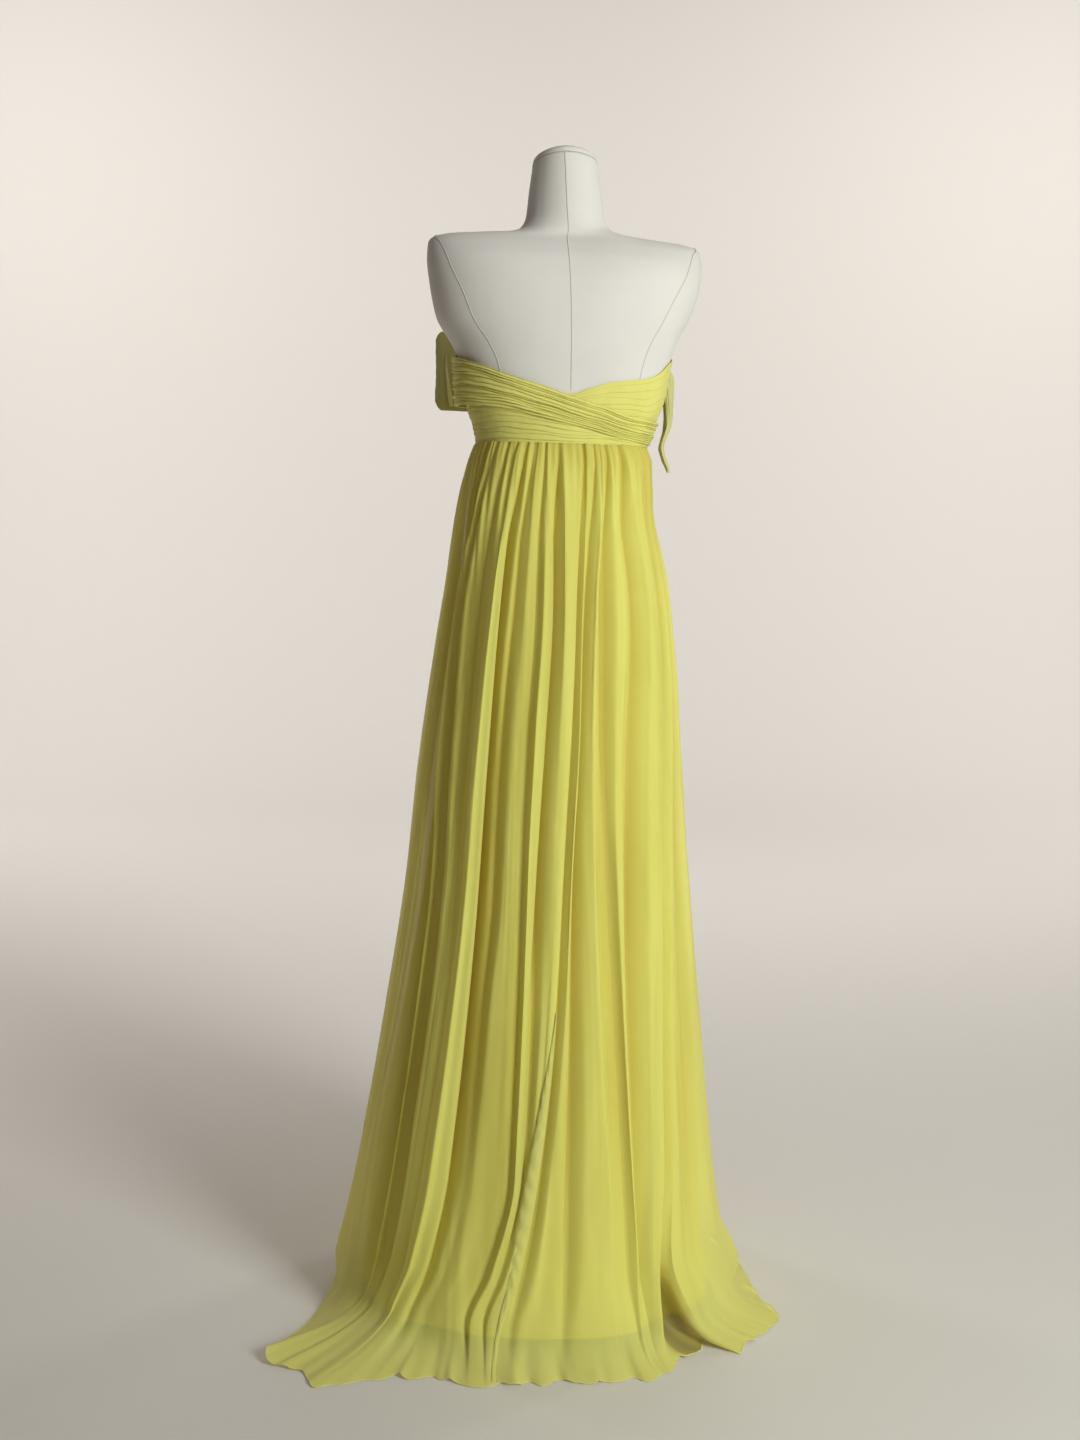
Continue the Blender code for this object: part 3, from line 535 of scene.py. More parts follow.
def add_object(name, mesh, material):
    """Puts a mesh in the scene, on the part's one body."""
    mesh.materials.append(material)
    mesh.shade_smooth()
    obj = bpy.data.objects.new(name, mesh)
    bpy.context.scene.collection.objects.link(obj)
    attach(obj, "root")
    return obj


def grid_faces(rows, columns, first=0, flip=False, closed=False):
    last = columns if closed else columns - 1
    row, column = np.meshgrid(np.arange(rows - 1), np.arange(last), indexing="ij")
    after = (column + 1) % columns
    a = first + row * columns + column
    b = first + row * columns + after
    c = first + (row + 1) * columns + after
    d = first + (row + 1) * columns + column
    order = (a, d, c, b) if flip else (a, b, c, d)
    return np.stack([o.ravel() for o in order], axis=1)


def surface_uvs(grid):
    """Lengths across and along a grid, in metres, one row for each point."""
    along = np.zeros(grid.shape[:2])
    along[1:] = np.cumsum(spans(grid, 0), axis=0)
    across = np.zeros(grid.shape[:2])
    across[:, 1:] = np.cumsum(spans(grid, 1), axis=1)
    both = np.broadcast_arrays(across.mean(axis=0)[None, :], along.mean(axis=1)[:, None])
    return np.stack(both, axis=-1).reshape(-1, 2)


def mesh_object(name, points, faces, material, uvs):
    """A piece of cloth from its points, its faces, and its lengths at each point."""
    mesh = bpy.data.meshes.new(name)
    mesh.from_pydata(points.tolist(), [], faces.tolist())
    layer = mesh.uv_layers.new(name="cloth")
    corners = np.empty(len(mesh.loops), dtype=np.int32)
    mesh.loops.foreach_get("vertex_index", corners)
    layer.data.foreach_set("uv", uvs.astype(np.float32)[corners].ravel())
    mesh.validate()
    return add_object(name, mesh, material)


def sheet_object(name, grid, material, closed=False):
    """One layer of cloth through a grid of points."""
    rows, columns = grid.shape[:2]
    faces = grid_faces(rows, columns, closed=closed)
    return mesh_object(name, grid.reshape(-1, 3), faces, material, surface_uvs(grid))


def shell_object(name, outer, inner, material, closed=False):
    """A thin closed shell between two grids of points."""
    rows, columns = outer.shape[:2]
    index = np.arange(rows * columns).reshape(rows, columns)
    if closed:
        rims = [np.append(0, index[0, ::-1]), np.append(index[-1], index[-1, 0])]
    else:
        rims = [index[0, ::-1], index[-1], index[:, 0], index[::-1, -1]]
    faces = [grid_faces(rows, columns, closed=closed)]
    faces.append(grid_faces(rows, columns, first=index.size, flip=True, closed=closed))
    for rim in rims:
        a, b = rim[:-1], rim[1:]
        faces.append(np.stack([a, b, index.size + b, index.size + a], axis=1))
    points = np.concatenate([outer.reshape(-1, 3), inner.reshape(-1, 3)])
    uvs = np.tile(surface_uvs(outer), (2, 1))
    return mesh_object(name, points, np.concatenate(faces), material, uvs)


def capped_object(name, rings, material, flip_ends=False):
    """A solid through closed rings of points, with flat ends."""
    count, sides = rings.shape[:2]
    first = list(range(sides))
    last = list(range((count - 1) * sides, count * sides))
    ends = [first, last[::-1]] if flip_ends else [first[::-1], last]
    mesh = bpy.data.meshes.new(name)
    faces = grid_faces(count, sides, closed=True).tolist() + ends
    mesh.from_pydata(rings.reshape(-1, 3).tolist(), [], faces)
    return add_object(name, mesh, material)


def tube_object(name, path, radius, material, sides=8, normals=None, flat=1.0):
    """A closed tube along a path. With normals, flat squeezes it towards the surface it lies on."""
    tangent = unit(np.gradient(path, axis=0))
    if normals is None:
        normals = unit(np.cross(tangent, np.array([0.0, 0.0, 1.0]) + 0.001))
    side = unit(np.cross(tangent, normals))
    up = np.cross(side, tangent)
    angles = (np.arange(sides) * 2 * math.pi / sides)[None, :, None]
    ring = np.cos(angles) * side[:, None] + flat * np.sin(angles) * up[:, None]
    return capped_object(name, path[:, None] + radius * ring, material, flip_ends=True)


class Nodes:
    """Short calls for a material's nodes."""

    def __init__(self, name):
        self.material = bpy.data.materials.new(name)
        self.material.use_nodes = True
        self.tree = self.material.node_tree
        self.shader = self.tree.nodes["Principled BSDF"]
        self.output = self.tree.nodes["Material Output"]

    def add(self, kind, **values):
        node = self.tree.nodes.new(kind)
        for key, value in values.items():
            if key in node.inputs:
                node.inputs[key].default_value = value
            else:
                setattr(node, key, value)
        return node

    def link(self, source, target):
        self.tree.links.new(source, target)

    def set(self, **values):
        for key, value in values.items():
            self.shader.inputs[key.replace("_", " ")].default_value = value

    def streaks(self, scale_across, scale_along):
        """A noise on the cloth's own lengths, stretched along it."""
        uv = self.add("ShaderNodeUVMap", uv_map="cloth")
        stretch = self.add("ShaderNodeMapping")
        stretch.inputs["Scale"].default_value = (scale_across, scale_along, 1.0)
        self.link(uv.outputs["UV"], stretch.inputs["Vector"])
        noise = self.add("ShaderNodeTexNoise", Scale=1.0, Detail=3.0)
        self.link(stretch.outputs["Vector"], noise.inputs["Vector"])
        return noise.outputs["Fac"]

    def noise(self, scale, detail):
        """A noise in the part's own frame."""
        place = self.add("ShaderNodeTexCoord")
        noise = self.add("ShaderNodeTexNoise", Scale=scale, Detail=detail)
        self.link(place.outputs["Object"], noise.inputs["Vector"])
        return noise.outputs["Fac"]

    def ramp(self, source, stops):
        """Colours at places from 0 to 1, blended between."""
        ramp = self.add("ShaderNodeValToRGB")
        elements = ramp.color_ramp.elements
        for element, (place, colour) in zip(elements, (stops[0], stops[-1])):
            element.position = place
            element.color = (*colour, 1)
        for place, colour in stops[1:-1]:
            elements.new(place).color = (*colour, 1)
        self.link(source, ramp.inputs["Fac"])
        return ramp.outputs["Color"]

    def bump(self, source, strength, distance):
        bump = self.add("ShaderNodeBump", Strength=strength, Distance=distance)
        self.link(source, bump.inputs["Height"])
        self.link(bump.outputs["Normal"], self.shader.inputs["Normal"])


# Colours of the light that comes through chiffon
THROUGH_DARK = (0.86, 0.62, 0.09)
THROUGH_LIGHT = (0.90, 0.68, 0.11)

# Share of the way from the deepest valley to a high crest, and the shade painted there
VALLEY_PAINTED_SHADE = (
    (0.0, (0.36, 0.32, 0.34)), (0.45, (0.58, 0.48, 0.40)), (0.62, (0.75, 0.66, 0.52)),
    (0.95, (1.0, 1.0, 1.0)),
)


def cloth_material(name, dark, light, through=0.0, opaque=1.0, crinkle=0.22, valleys=False):
    """Chiffon or lining: matt cloth that may let light through and show what is behind it."""
    n = Nodes(name)
    fine = n.streaks(900.0, 140.0)
    broad = n.streaks(22.0, 4.0)
    colour = n.ramp(broad, [(0.3, dark), (0.7, light)])
    # With valleys, the colour is darkened by the shade painted into the folds' valleys
    if valleys:
        reach = n.add("ShaderNodeAttribute", attribute_name="painted_shade")
        both = n.add("ShaderNodeMix", data_type="RGBA", blend_type="MULTIPLY")
        both.inputs["Factor"].default_value = 1.0
        # A mix node's colours are its inputs 6 and 7 and its output 2
        n.link(colour, both.inputs[6])
        n.link(n.ramp(reach.outputs["Fac"], VALLEY_PAINTED_SHADE), both.inputs[7])
        colour = both.outputs[2]
    n.link(colour, n.shader.inputs["Base Color"])
    n.bump(fine, crinkle, 0.0006)
    n.set(Roughness=0.75, Alpha=opaque, Specular_IOR_Level=0.25)
    n.set(Sheen_Weight=0.12, Sheen_Roughness=0.5)
    if through > 0:
        glow = n.add("ShaderNodeBsdfTranslucent")
        n.link(n.ramp(broad, [(0.3, THROUGH_DARK), (0.7, THROUGH_LIGHT)]), glow.inputs["Color"])
        mix = n.add("ShaderNodeMixShader", Fac=through)
        n.link(n.shader.outputs["BSDF"], mix.inputs[1])
        n.link(glow.outputs["BSDF"], mix.inputs[2])
        n.link(mix.outputs["Shader"], n.output.inputs["Surface"])
    return n.material


def linen_material(name, dark, light):
    n = Nodes(name)
    n.link(n.ramp(n.noise(9.0, 3.0), [(0.3, dark), (0.7, light)]), n.shader.inputs["Base Color"])
    n.bump(n.noise(900.0, 2.0), 0.25, 0.0004)
    n.set(Roughness=0.82, Sheen_Weight=0.15, Sheen_Roughness=0.6, Specular_IOR_Level=0.25)
    return n.material


def steel_material(name):
    n = Nodes(name)
    noise = n.noise(60.0, 4.0)
    colour = n.ramp(noise, [(0.35, (0.50, 0.50, 0.50)), (0.65, (0.62, 0.62, 0.61))])
    n.link(colour, n.shader.inputs["Base Color"])
    roughness = n.ramp(noise, [(0.3, (0.28, 0.28, 0.28)), (0.7, (0.42, 0.42, 0.42))])
    n.link(roughness, n.shader.inputs["Roughness"])
    n.set(Metallic=1.0)
    return n.material


# The skirt's chiffon has shade painted into its valleys
CHIFFON = cloth_material(
    "chiffon", (0.81, 0.82, 0.20), (0.87, 0.885, 0.24), through=0.16, opaque=0.70, valleys=True,
)
BODICE_CHIFFON = cloth_material("bodice_chiffon", (0.64, 0.61, 0.16), (0.72, 0.69, 0.19))
# The loops' chiffon: a darker, greyer copy of the dress's chiffon, painted shade for loops that lie in shade
BOW_CHIFFON_PAINTED_SHADE = cloth_material("bow_chiffon_painted_shade", (0.54, 0.53, 0.22), (0.62, 0.61, 0.26), through=0.06)
HEM_CHIFFON = cloth_material("hem_chiffon", (0.77, 0.77, 0.22), (0.83, 0.84, 0.26), through=0.15)
ALLOWANCE_CHIFFON = cloth_material("allowance_chiffon", (0.54, 0.52, 0.13), (0.61, 0.59, 0.16))
LINING = cloth_material("lining", (0.78, 0.73, 0.15), (0.84, 0.80, 0.18), crinkle=0.1)
# A paler copy of the chiffon: a painted highlight on the left loop's turned edge
EDGE_CHIFFON_PAINTED_HIGHLIGHT = cloth_material("edge_chiffon_painted_highlight", (0.86, 0.87, 0.40), (0.92, 0.93, 0.46))
LINEN = linen_material("linen", (0.66, 0.64, 0.60), (0.71, 0.69, 0.655))
SEAM_LINEN = linen_material("seam_linen", (0.50, 0.475, 0.43), (0.57, 0.545, 0.50))
STEEL = steel_material("steel")


def form():
    """The covered torso with its neck cap and seams."""
    turn = np.arange(0, 360, 2.5)
    heights = np.linspace(FORM_SECTIONS[0, 0], NECK_TOP, 190)[:, None]
    torso_rings = neck_lean(form_points(turn, heights, neck_ridge(turn, heights)))
    cap_rings = []
    for share in np.sin(np.linspace(0, math.pi / 2, 16)):
        ring = form_points(turn, NECK_TOP, neck_ridge(turn, NECK_TOP))
        ring[:, :2] *= max(1 - share**2.6, 0.0) ** 0.5 * 0.999 + 0.001
        ring = neck_lean(ring)
        ring[:, 2] += 2 * SEAM_GAP + CAP_HEIGHT * share
        cap_rings.append(ring)
    for name, rings, sharp, node in (
        ("torso_cover", torso_rings, 40, "form_body"),
        ("neck_cap_cover", np.array(cap_rings), 50, "form_neck_cap"),
    ):
        piece = capped_object(name, rings, LINEN)
        piece.data.set_sharp_from_angle(angle=math.radians(sharp))
        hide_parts(node)

    for name, turns, rows in form_seams():
        ridge = neck_ridge(turns, rows)
        path = neck_lean(form_points(turns, rows, ridge - 0.0001))
        out = neck_lean(form_points(turns, rows, ridge + 0.01)) - path
        seam = tube_object(name, path, 0.0009, SEAM_LINEN, normals=out, flat=0.7)


def form_seams():
    """Name, turns and heights of each seam that shows on the form."""
    rows = np.linspace(1.345, NECK_TOP - 0.001, 160)
    yield "form_seam_back", neck_seam_turn(rows), rows
    yield "form_seam_front", np.full(160, 180.0), np.linspace(1.395, NECK_TOP - 0.001, 160)
    fine = np.linspace(0, len(SIDE_SEAM) - 1, 120)
    index = np.column_stack([np.arange(len(SIDE_SEAM)), SIDE_SEAM])
    turns, rows = smooth_curve(index, fine).T
    yield "form_seam_back_left", turns, rows
    yield "form_seam_back_right", -turns, rows
    yield "form_seam_front_left", 180 - turns * 0.95, rows
    yield "form_seam_front_right", 180 + turns * 0.95, rows
    ring = np.arange(0, 361, 3.0)
    yield "form_seam_neck", ring, np.full(len(ring), NECK_TOP - 0.0005)


# One tuck: share of its height from its lower edge up, and share of its depth there. Its lower
# edge hangs a little over the tuck below
TUCK = np.array([
    (0.00, 0.00), (-0.07, 0.45), (-0.05, 0.86), (0.06, 1.00), (0.28, 0.92), (0.54, 0.68),
    (0.78, 0.38), (0.95, 0.08),
])


def pleated_piece(
    name, turns, low_edge, high_edge, pleats, depth, layer, seed,
    low_gap=0.0, lift=0.0, sunk=0.0, rolled=0.1, held=None,
):
    """One pleated piece of the bodice: a thin shell on the form, whose rows follow its tucks."""
    inset = math.degrees(SEAM_GAP / 2 / SIDE_RADIUS)
    columns = int(abs(turns[1] - turns[0]) / PLEAT_COLUMN) + 1
    turn = np.linspace(turns[0] + inset, turns[1] - inset, columns)[None, :]
    tuck = np.append(np.repeat(np.arange(pleats), len(TUCK)), [pleats - 1] * 2)
    share = np.append(np.tile(TUCK[:, 0], pleats), [0.97, 1.0])[:, None]
    height_share = np.append(np.tile(TUCK[:, 1], pleats), [rolled, rolled * 0.8])[:, None]
    share[:3] = np.maximum(share[:3], 0)

    widths = np.random.default_rng(seed + 5).uniform(0.6, 1.4, pleats)
    edges = np.concatenate([[0], np.cumsum(widths)])[:, None] / widths.sum()
    hold = np.clip(5 * np.minimum(edges, 1 - edges), 0, 1)
    wander = ripples(seed, 34.0, 0.22, turn, edges)
    wander = wander + 0.5 * ripples(seed + 1, 14.0, 0.12, turn, edges)
    edges = edges + PLEAT_WANDER / pleats * wander * hold
    across = edges[tuck] * (1 - share) + edges[tuck + 1] * share
    tucks = np.arange(pleats)[:, None] / pleats
    strength = 0.8 + 0.45 * ripples(seed + 2, 22.0, 0.07, turn, tucks)
    rise = depth * height_share * np.clip(strength, 0.22, 1.3)[tuck]
    rise = rise + 0.00012 * ripples(seed + 3, 4.0, 0.3, turn, across)

    at = np.clip(turn, *(held or turns))
    low = height_at(low_edge, at) + low_gap
    high = height_at(high_edge, at)
    heights = low + across * (high - low)
    away = lift * bell(turn, WRAP_LIFT_TURN, WRAP_LIFT_SPREAD)
    below = layer + away * (1 - 0.85 * across) - sunk * np.clip(1 - across * pleats, 0, 1)
    outer = form_points(turn, heights, below + CLOTH + rise)
    inner = form_points(turn, heights, below + CLOTH * 0.3)
    return shell_object(name, outer, inner, BODICE_CHIFFON)


def bodice():
    under = BODICE_EASE
    over = BODICE_EASE + CLOTH + FINE_PLEAT + LAYER_GAP
    tucked = -2 * SEAM_GAP
    # Node, turns, lower and upper edge, pleats and their depth, how far out it lies, and seed
    pieces = [
        ("midriff_back", (-90, 90), EMPIRE_SEAM, MIDRIFF_TOP, 9, 0.0020, under, 3, {}),
        ("midriff_front", (90, 270), EMPIRE_SEAM, MIDRIFF_TOP, 7, 0.0016, under, 53,
         {"held": (92, 268)}),
        ("back_panel_right", (-90, 12), MIDRIFF_TOP, TOP_EDGE, 8, 0.0011, under, 7,
         {"low_gap": tucked}),
        ("back_wrap", (-90, WRAP_END), WRAP_BOTTOM, WRAP_TOP, 12, 0.0036, over, 11,
         {"lift": WRAP_LIFT, "sunk": 0.0010, "rolled": 0.75}),
        ("front_left", (90, 180), MIDRIFF_TOP, TOP_EDGE, 15, 0.0018, under, 23,
         {"low_gap": tucked, "held": (92, 180)}),
        ("front_right", (180, 270), MIDRIFF_TOP, TOP_EDGE, 15, 0.0018, under, 37,
         {"low_gap": tucked, "held": (180, 268)}),
    ]
    for node, turns, low, high, pleats, depth, layer, seed, rest in pieces:
        piece = pleated_piece(node + "_cloth", turns, low, high, pleats, depth, layer, seed, **rest)
        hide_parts(node)


def section_rows(step, last=len(SKIRT_SECTIONS) - 1):
    """Places along the section table that lie about one step apart down the skirt."""
    fine = np.linspace(0, last, 2000)
    values = smooth_curve(SKIRT_TABLE, fine)
    reach = values[:, 3] * (1 - values[:, 5]) + BACK_HEM * values[:, 5]
    steps = np.hypot(np.diff(values[:, 0]), np.diff(reach))
    length = np.concatenate([[0], np.cumsum(steps)])
    return np.interp(np.linspace(0, length[-1], int(length[-1] / step) + 1), length, fine)


def row_heights(rows):
    return smooth_curve(SKIRT_TABLE, rows)[:, 0]


def skirt_base(turn, rows):
    """The skirt's surface without folds, on a grid of rows along the section table and turns."""
    values = smooth_curve(SKIRT_TABLE, rows)[:, :, None]
    height, left, right, back, front, share = (values[:, i] for i in range(6))
    angle = np.radians(turn)
    s, c = np.sin(angle), np.cos(angle)
    x = power(s, 2 / SKIRT_SQUARENESS) * np.where(s > 0, left, right)
    y = power(c, 2 / SKIRT_SQUARENESS) * np.where(c > 0, back, front)
    hem = height_at(HEM, turn[-1:])
    x = x * (1 - share) + hem * s * share
    y = y * (1 - share) + hem * c * share
    near_seam = fade(height - BEND_FROM, SKIRT_TOP - BEND_FROM)
    z = height + (height_at(EMPIRE_SEAM, turn) - SKIRT_TOP - SEAM_GAP) * near_seam
    return np.stack(np.broadcast_arrays(x, y, z), axis=-1)


def shaped_folds(lines):
    """The lines with every fold shaped as it hangs: a steep flank, a long face turned to the
    right, and a roll with a sharp edge over the next valley.

    Also gives the new place of every line.
    """
    turns = np.array([line[0] for line in lines], float)
    outs = np.array([line[1] for line in lines], float) / 1000
    down = FOLD_HEIGHTS[0] - FOLD_HEIGHTS
    hold = fade(down, SHAPED_UNDER) * fade(FOLD_HEIGHTS, SHAPED_OVER)
    face = FACE_SHARE + FACE_GROWTH * fade(down, 1.2)
    middle = outs[:, 1:8].mean(axis=1)
    valleys = [
        i for i in range(1, len(lines) - 1)
        if middle[i] < middle[i - 1] and middle[i] < middle[i + 1]
    ]
    shaped = outs.copy()
    extra = {}
    for left, right in zip(valleys[:-1], valleys[1:]):
        width = turns[left] - turns[right - 1]
        tilt = FOLD_TILT * hold * np.minimum(np.radians(width) * face, LONGEST_FACE)
        for i in range(left + 1, right):
            shaped[i] += tilt * (FACE_MIDDLE - (turns[left] - turns[i]) / width)
        first = (turns[left] - turns[left + 1]) / width
        if first.mean() > FAR_CREST:
            rise = (outs[left + 1] - outs[left]) * np.clip(MORE_AT / first, 0, 1) ** 0.6
            out = outs[left] + rise + tilt * (FACE_MIDDLE - MORE_AT)
            extra[left] = (turns[left] - MORE_AT * width, out)
    for i in valleys:
        if middle[i - 1] - middle[i] > LOW_CREST:
            shaped[i] -= VALLEY_DEEPER * hold
            shaped[i] = np.minimum(shaped[i], shaped[i - 1] - VALLEY_UNDER * hold)

    result, places = [], []
    for i in range(len(lines)):
        out = shaped[i]
        if 0 < i < len(lines) - 1:
            drop = out - shaped[i + 1]
            sharp = i + 1 in valleys and (turns[i] - turns[i + 1]).mean() < SHARP_WIDTH
            if sharp and drop.mean() > SHARP_DROP:
                roll = np.minimum(ROLL_WIDTH, ROLL_SHARE * (turns[i - 1] - turns[i]))
                result.append((turns[i] + roll, out + ROLL_RISE * hold))
                out = out - ROLL_DROP * np.maximum(drop, 0)
        places.append(len(result))
        result.append((turns[i], out))
        if i in extra:
            result.append(extra[i])
    return result, places


def front_lines():
    """Crests and valleys of the front, from the wearer's right side round to the left."""
    rng = np.random.default_rng(6)
    rows = []
    before = -90.0
    for crest in (*FRONT_CRESTS, -262.0):
        drift = np.linspace(0, rng.uniform(-2.5, 2.5), len(FOLD_HEIGHTS))
        valley = (before + crest) / 2 + rng.uniform(-1.5, 1.5)
        rows.append((valley + drift / 2, VALLEY_OUT * rng.uniform(0.3, 1.8)))
        rows.append((crest + drift, CREST_OUT * rng.uniform(0.7, 1.2)))
        before = crest
    rows.append(((-266.0,) * len(FOLD_HEIGHTS), VALLEY_OUT * 3))
    rows.append(((-270.0,) * len(FOLD_HEIGHTS), SIDE_LEFT[1]))
    return rows


FOLD_LINES, LINE_PLACES = shaped_folds([SIDE_LEFT, *BACK_LINES, SIDE_RIGHT, *front_lines()])


def fold_lines(heights):
    """Turn and reach outwards of every fold line at those heights, one row for each height.

    They run from the wearer's left side across the back to the right, and on round the front.
    """
    count = len(FOLD_LINES)
    turns = np.array([line[0] for line in FOLD_LINES])
    outs = np.array([line[1] for line in FOLD_LINES])
    order = np.argsort(FOLD_HEIGHTS)
    table = np.column_stack([FOLD_HEIGHTS, turns.T, outs.T])[order]
    values = smooth_curve(table, heights)
    turns, outs = values[:, :count], values[:, count:]
    for line in range(1, count):
        turns[:, line] = np.minimum(turns[:, line], turns[:, line - 1] - LEAST_APART)
    return turns, outs


def fold_profile(turn, lines, outs):
    """How far the cloth stands out between the fold lines: round over crests, sharp in valleys."""
    slopes = np.diff(outs, axis=1) / np.diff(lines, axis=1)
    before, after = slopes[:, :-1], slopes[:, 1:]
    middle = soft_slopes(before, after)
    valley = (before > 0) & (after < 0)
    ends = np.zeros((len(lines), 1))
    arriving = np.hstack([ends, np.where(valley, VALLEY_SHARPNESS * before, middle), ends])
    leaving = np.hstack([ends, np.where(valley, VALLEY_SHARPNESS * after, middle), ends])
    place = [np.searchsorted(-row, -at, side="right") - 1 for row, at in zip(lines, turn)]
    place = np.clip(np.array(place), 0, lines.shape[1] - 2)

    def take(values, index):
        return np.take_along_axis(values, index, axis=1)

    width = take(lines, place + 1) - take(lines, place)
    share = np.clip((turn - take(lines, place)) / width, 0, 1)
    return curve_between(
        share, width, take(outs, place), take(leaving, place),
        take(outs, place + 1), take(arriving, place + 1),
    )


def gather_offsets(turn, height):
    """The small gathers under the seam, each fading out at its own height."""
    rng = np.random.default_rng(4)
    near_seam = 0.5 + 0.5 * fade(SKIRT_TOP - height, 0.02)
    out = np.zeros(turn.shape)
    for i in range(GATHERS):
        start = 90 - 360 * (i + rng.uniform(-0.3, 0.3)) / GATHERS
        drift = rng.uniform(-2.0, 2.0)
        length = rng.choice(GATHER_LENGTHS, p=GATHER_SHARES)
        size = rng.uniform(0.0018, 0.0042)
        width = rng.uniform(1.2, 2.4)
        down = fade(SKIRT_TOP - height, length)
        away = half_turn(turn - start - drift * down)
        bump = np.clip(1 - np.abs(away / (width * (1 + 0.5 * down))) ** 1.6, 0, None)
        out += size * bump * (1 - down) ** 0.8 * near_seam
    return out


def opening(turn, height):
    """Share, 0 to 1, of the opening under the fold at the right."""
    near = bell(half_turn(turn), OPENING_TURN, OPENING_SPREAD)
    return fade(OPENING_TOP - height, OPENING_FADE) * near


def lining_inset(turn, rows, height):
    """How far the lining lies inside the skirt."""
    inset = np.interp(rows, *zip(*LINING_INSETS))[:, None]
    return inset + OPENING_DEPTH * opening(turn, height)


def clear_of_form(grid):
    """Moves the lining's points out where the torso would stand through them."""
    height = grid[..., 2]
    half, back, front, squareness = form_sections(height)
    reach = np.where(grid[..., 1] > 0, back, front)
    across = np.abs(grid[..., 0]) / (half + CLEAR_OF_FORM)
    along = np.abs(grid[..., 1]) / (reach + CLEAR_OF_FORM)
    level = across**squareness + along**squareness
    level = np.where(height > FORM_SECTIONS[0, 0], level, 1.0)
    grid[..., :2] *= np.maximum(level ** (-1 / squareness), 1.0)[..., None]


def skirt_points(turn, rows, lines, outs):
    """Points of the chiffon, a row of turns for each row down the skirt, and its folds' reach."""
    base = skirt_base(turn, rows)
    height = np.broadcast_to(row_heights(rows)[:, None], turn.shape)
    across = skirt_base(turn - 0.2, rows) - skirt_base(turn + 0.2, rows)
    normal = unit(np.cross(np.gradient(base, axis=0), across))
    outward = (normal * base)[..., :2].sum(axis=-1, keepdims=True)
    normal *= np.where(outward < 0, -1, 1)

    folds = fold_profile(turn, lines, outs)
    low = fade(WAVES_TOP[0] - height, WAVES_TOP[1])
    crease = np.clip(1 - 1.6 * np.abs(ripples(23, 3.2, 0.42, turn, height)), -0.6, 1)
    soft = 0.0014 * low * ripples(21, 8.0, 0.26, turn, height)
    soft = soft + 0.0003 * ripples(22, 3.0, 0.06, turn, height)
    waves = (0.0005 * low * crease + soft) * fade(height, NEAR_FLOOR)
    out = folds + gather_offsets(turn, height) + waves
    out = np.maximum(out, OVER_LINING - lining_inset(turn, rows, height))

    angle = np.radians(turn)
    sideways = np.stack([np.cos(angle), -np.sin(angle), np.zeros(turn.shape)], axis=-1)
    on_back = fade(LEAN_TURN[0] - np.abs(half_turn(turn)), LEAN_TURN[1])
    lean = FOLD_LEAN * np.clip(LEAN_FROM - folds, 0, None) * on_back
    lean = lean * fade(LEAN_TOP[0] - height, LEAN_TOP[1]) * fade(height, LEAN_OVER)
    lean = lean * (1 - opening(turn, height))
    points = base + normal * out[..., None] + sideways * lean[..., None]

    edge = np.clip(1 - height / NEAR_FLOOR, 0, 1) ** 1.5
    curl = sum(high * bell(turn, at, spread) for at, spread, high in HEM_CURLS)
    lift = 0.005 * np.clip(ripples(24, 2.6, 1.0, turn, 0 * turn) - 0.1, 0, 1) + curl
    points[..., 2] = np.maximum(points[..., 2], HEM_ROLL + 0.0002) + lift * edge
    return points, out


def paint_fold_shade(piece, reach, turn, height):
    """Paints shade into the chiffon's deep folds and its opening, as a share on each point, less towards the
    hem.
    """
    inside = opening(turn, height)
    # Painted shadow in the opening: the cloth there is shaded as if it lay deeper
    reach = reach - OPENING_PAINTED_SHADE * inside * fade(0.013 - reach, 0.010)
    share = fade(reach - DEEPEST_REACH, CREST_REACH - DEEPEST_REACH)
    shade_strength = np.maximum(fade(height, PAINTED_SHADE_FULL_FROM), inside)
    share = 1 - (1 - share) * shade_strength
    layer = piece.data.attributes.new("painted_shade", "FLOAT", "POINT")
    layer.data.foreach_set("value", share.astype(np.float32).ravel())


def panel_turns(lines, first, last, spacing):
    """Turns of a panel's columns between two fold lines, with one column on each line."""
    columns = [lines[:, first]]
    for line in range(first, last):
        width = np.abs(lines[:, line] - lines[:, line + 1]).mean()
        count = max(4, round(width / spacing))
        for share in np.arange(1, count + 1) / count:
            columns.append(lines[:, line] * (1 - share) + lines[:, line + 1] * share)
    return np.stack(columns, axis=1)


def skirt():
    seam = LINE_PLACES[1 + SEAM_LINE]
    side = LINE_PLACES[1 + len(BACK_LINES)]
    # Node, first and last fold line, degrees between its columns, metres between its rows
    panels = [
        ("skirt_back_left", 0, seam, 0.5, 0.0055),
        ("skirt_back_right", seam, side, 0.5, 0.0055),
        ("skirt_front", side, LINE_PLACES[-1], 0.9, 0.008),
    ]
    for node, first, last, spacing, row_step in panels:
        rows = section_rows(row_step)
        heights = row_heights(rows)
        lines, outs = fold_lines(heights)
        turn = panel_turns(lines, first, last, spacing)
        grid, reach = skirt_points(turn, rows, lines, outs)
        piece = sheet_object(node + "_cloth", grid, CHIFFON)
        # Shade painted into the chiffon's valleys and into the opening under the fold
        paint_fold_shade(piece, reach, turn, heights[:, None])
        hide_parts(node)
        roll = tube_object(node + "_hem_roll", grid[-1], HEM_ROLL, HEM_CHIFFON, sides=6)
        if node == "skirt_back_left":
            seam_allowance(rows, heights, lines, outs, seam)
        across = spans(grid, 1).sum(axis=1)
        down = spans(grid, 0).sum(axis=0)
        flat = (round(float(across.max()), 2), round(float(down.max()), 2))
        area = float((across[1:] + across[:-1]).sum() / 2 * down.mean() / (len(across) - 1))
        area = min(max(area, LEAST_FILLED * flat[0] * flat[1]), flat[0] * flat[1])


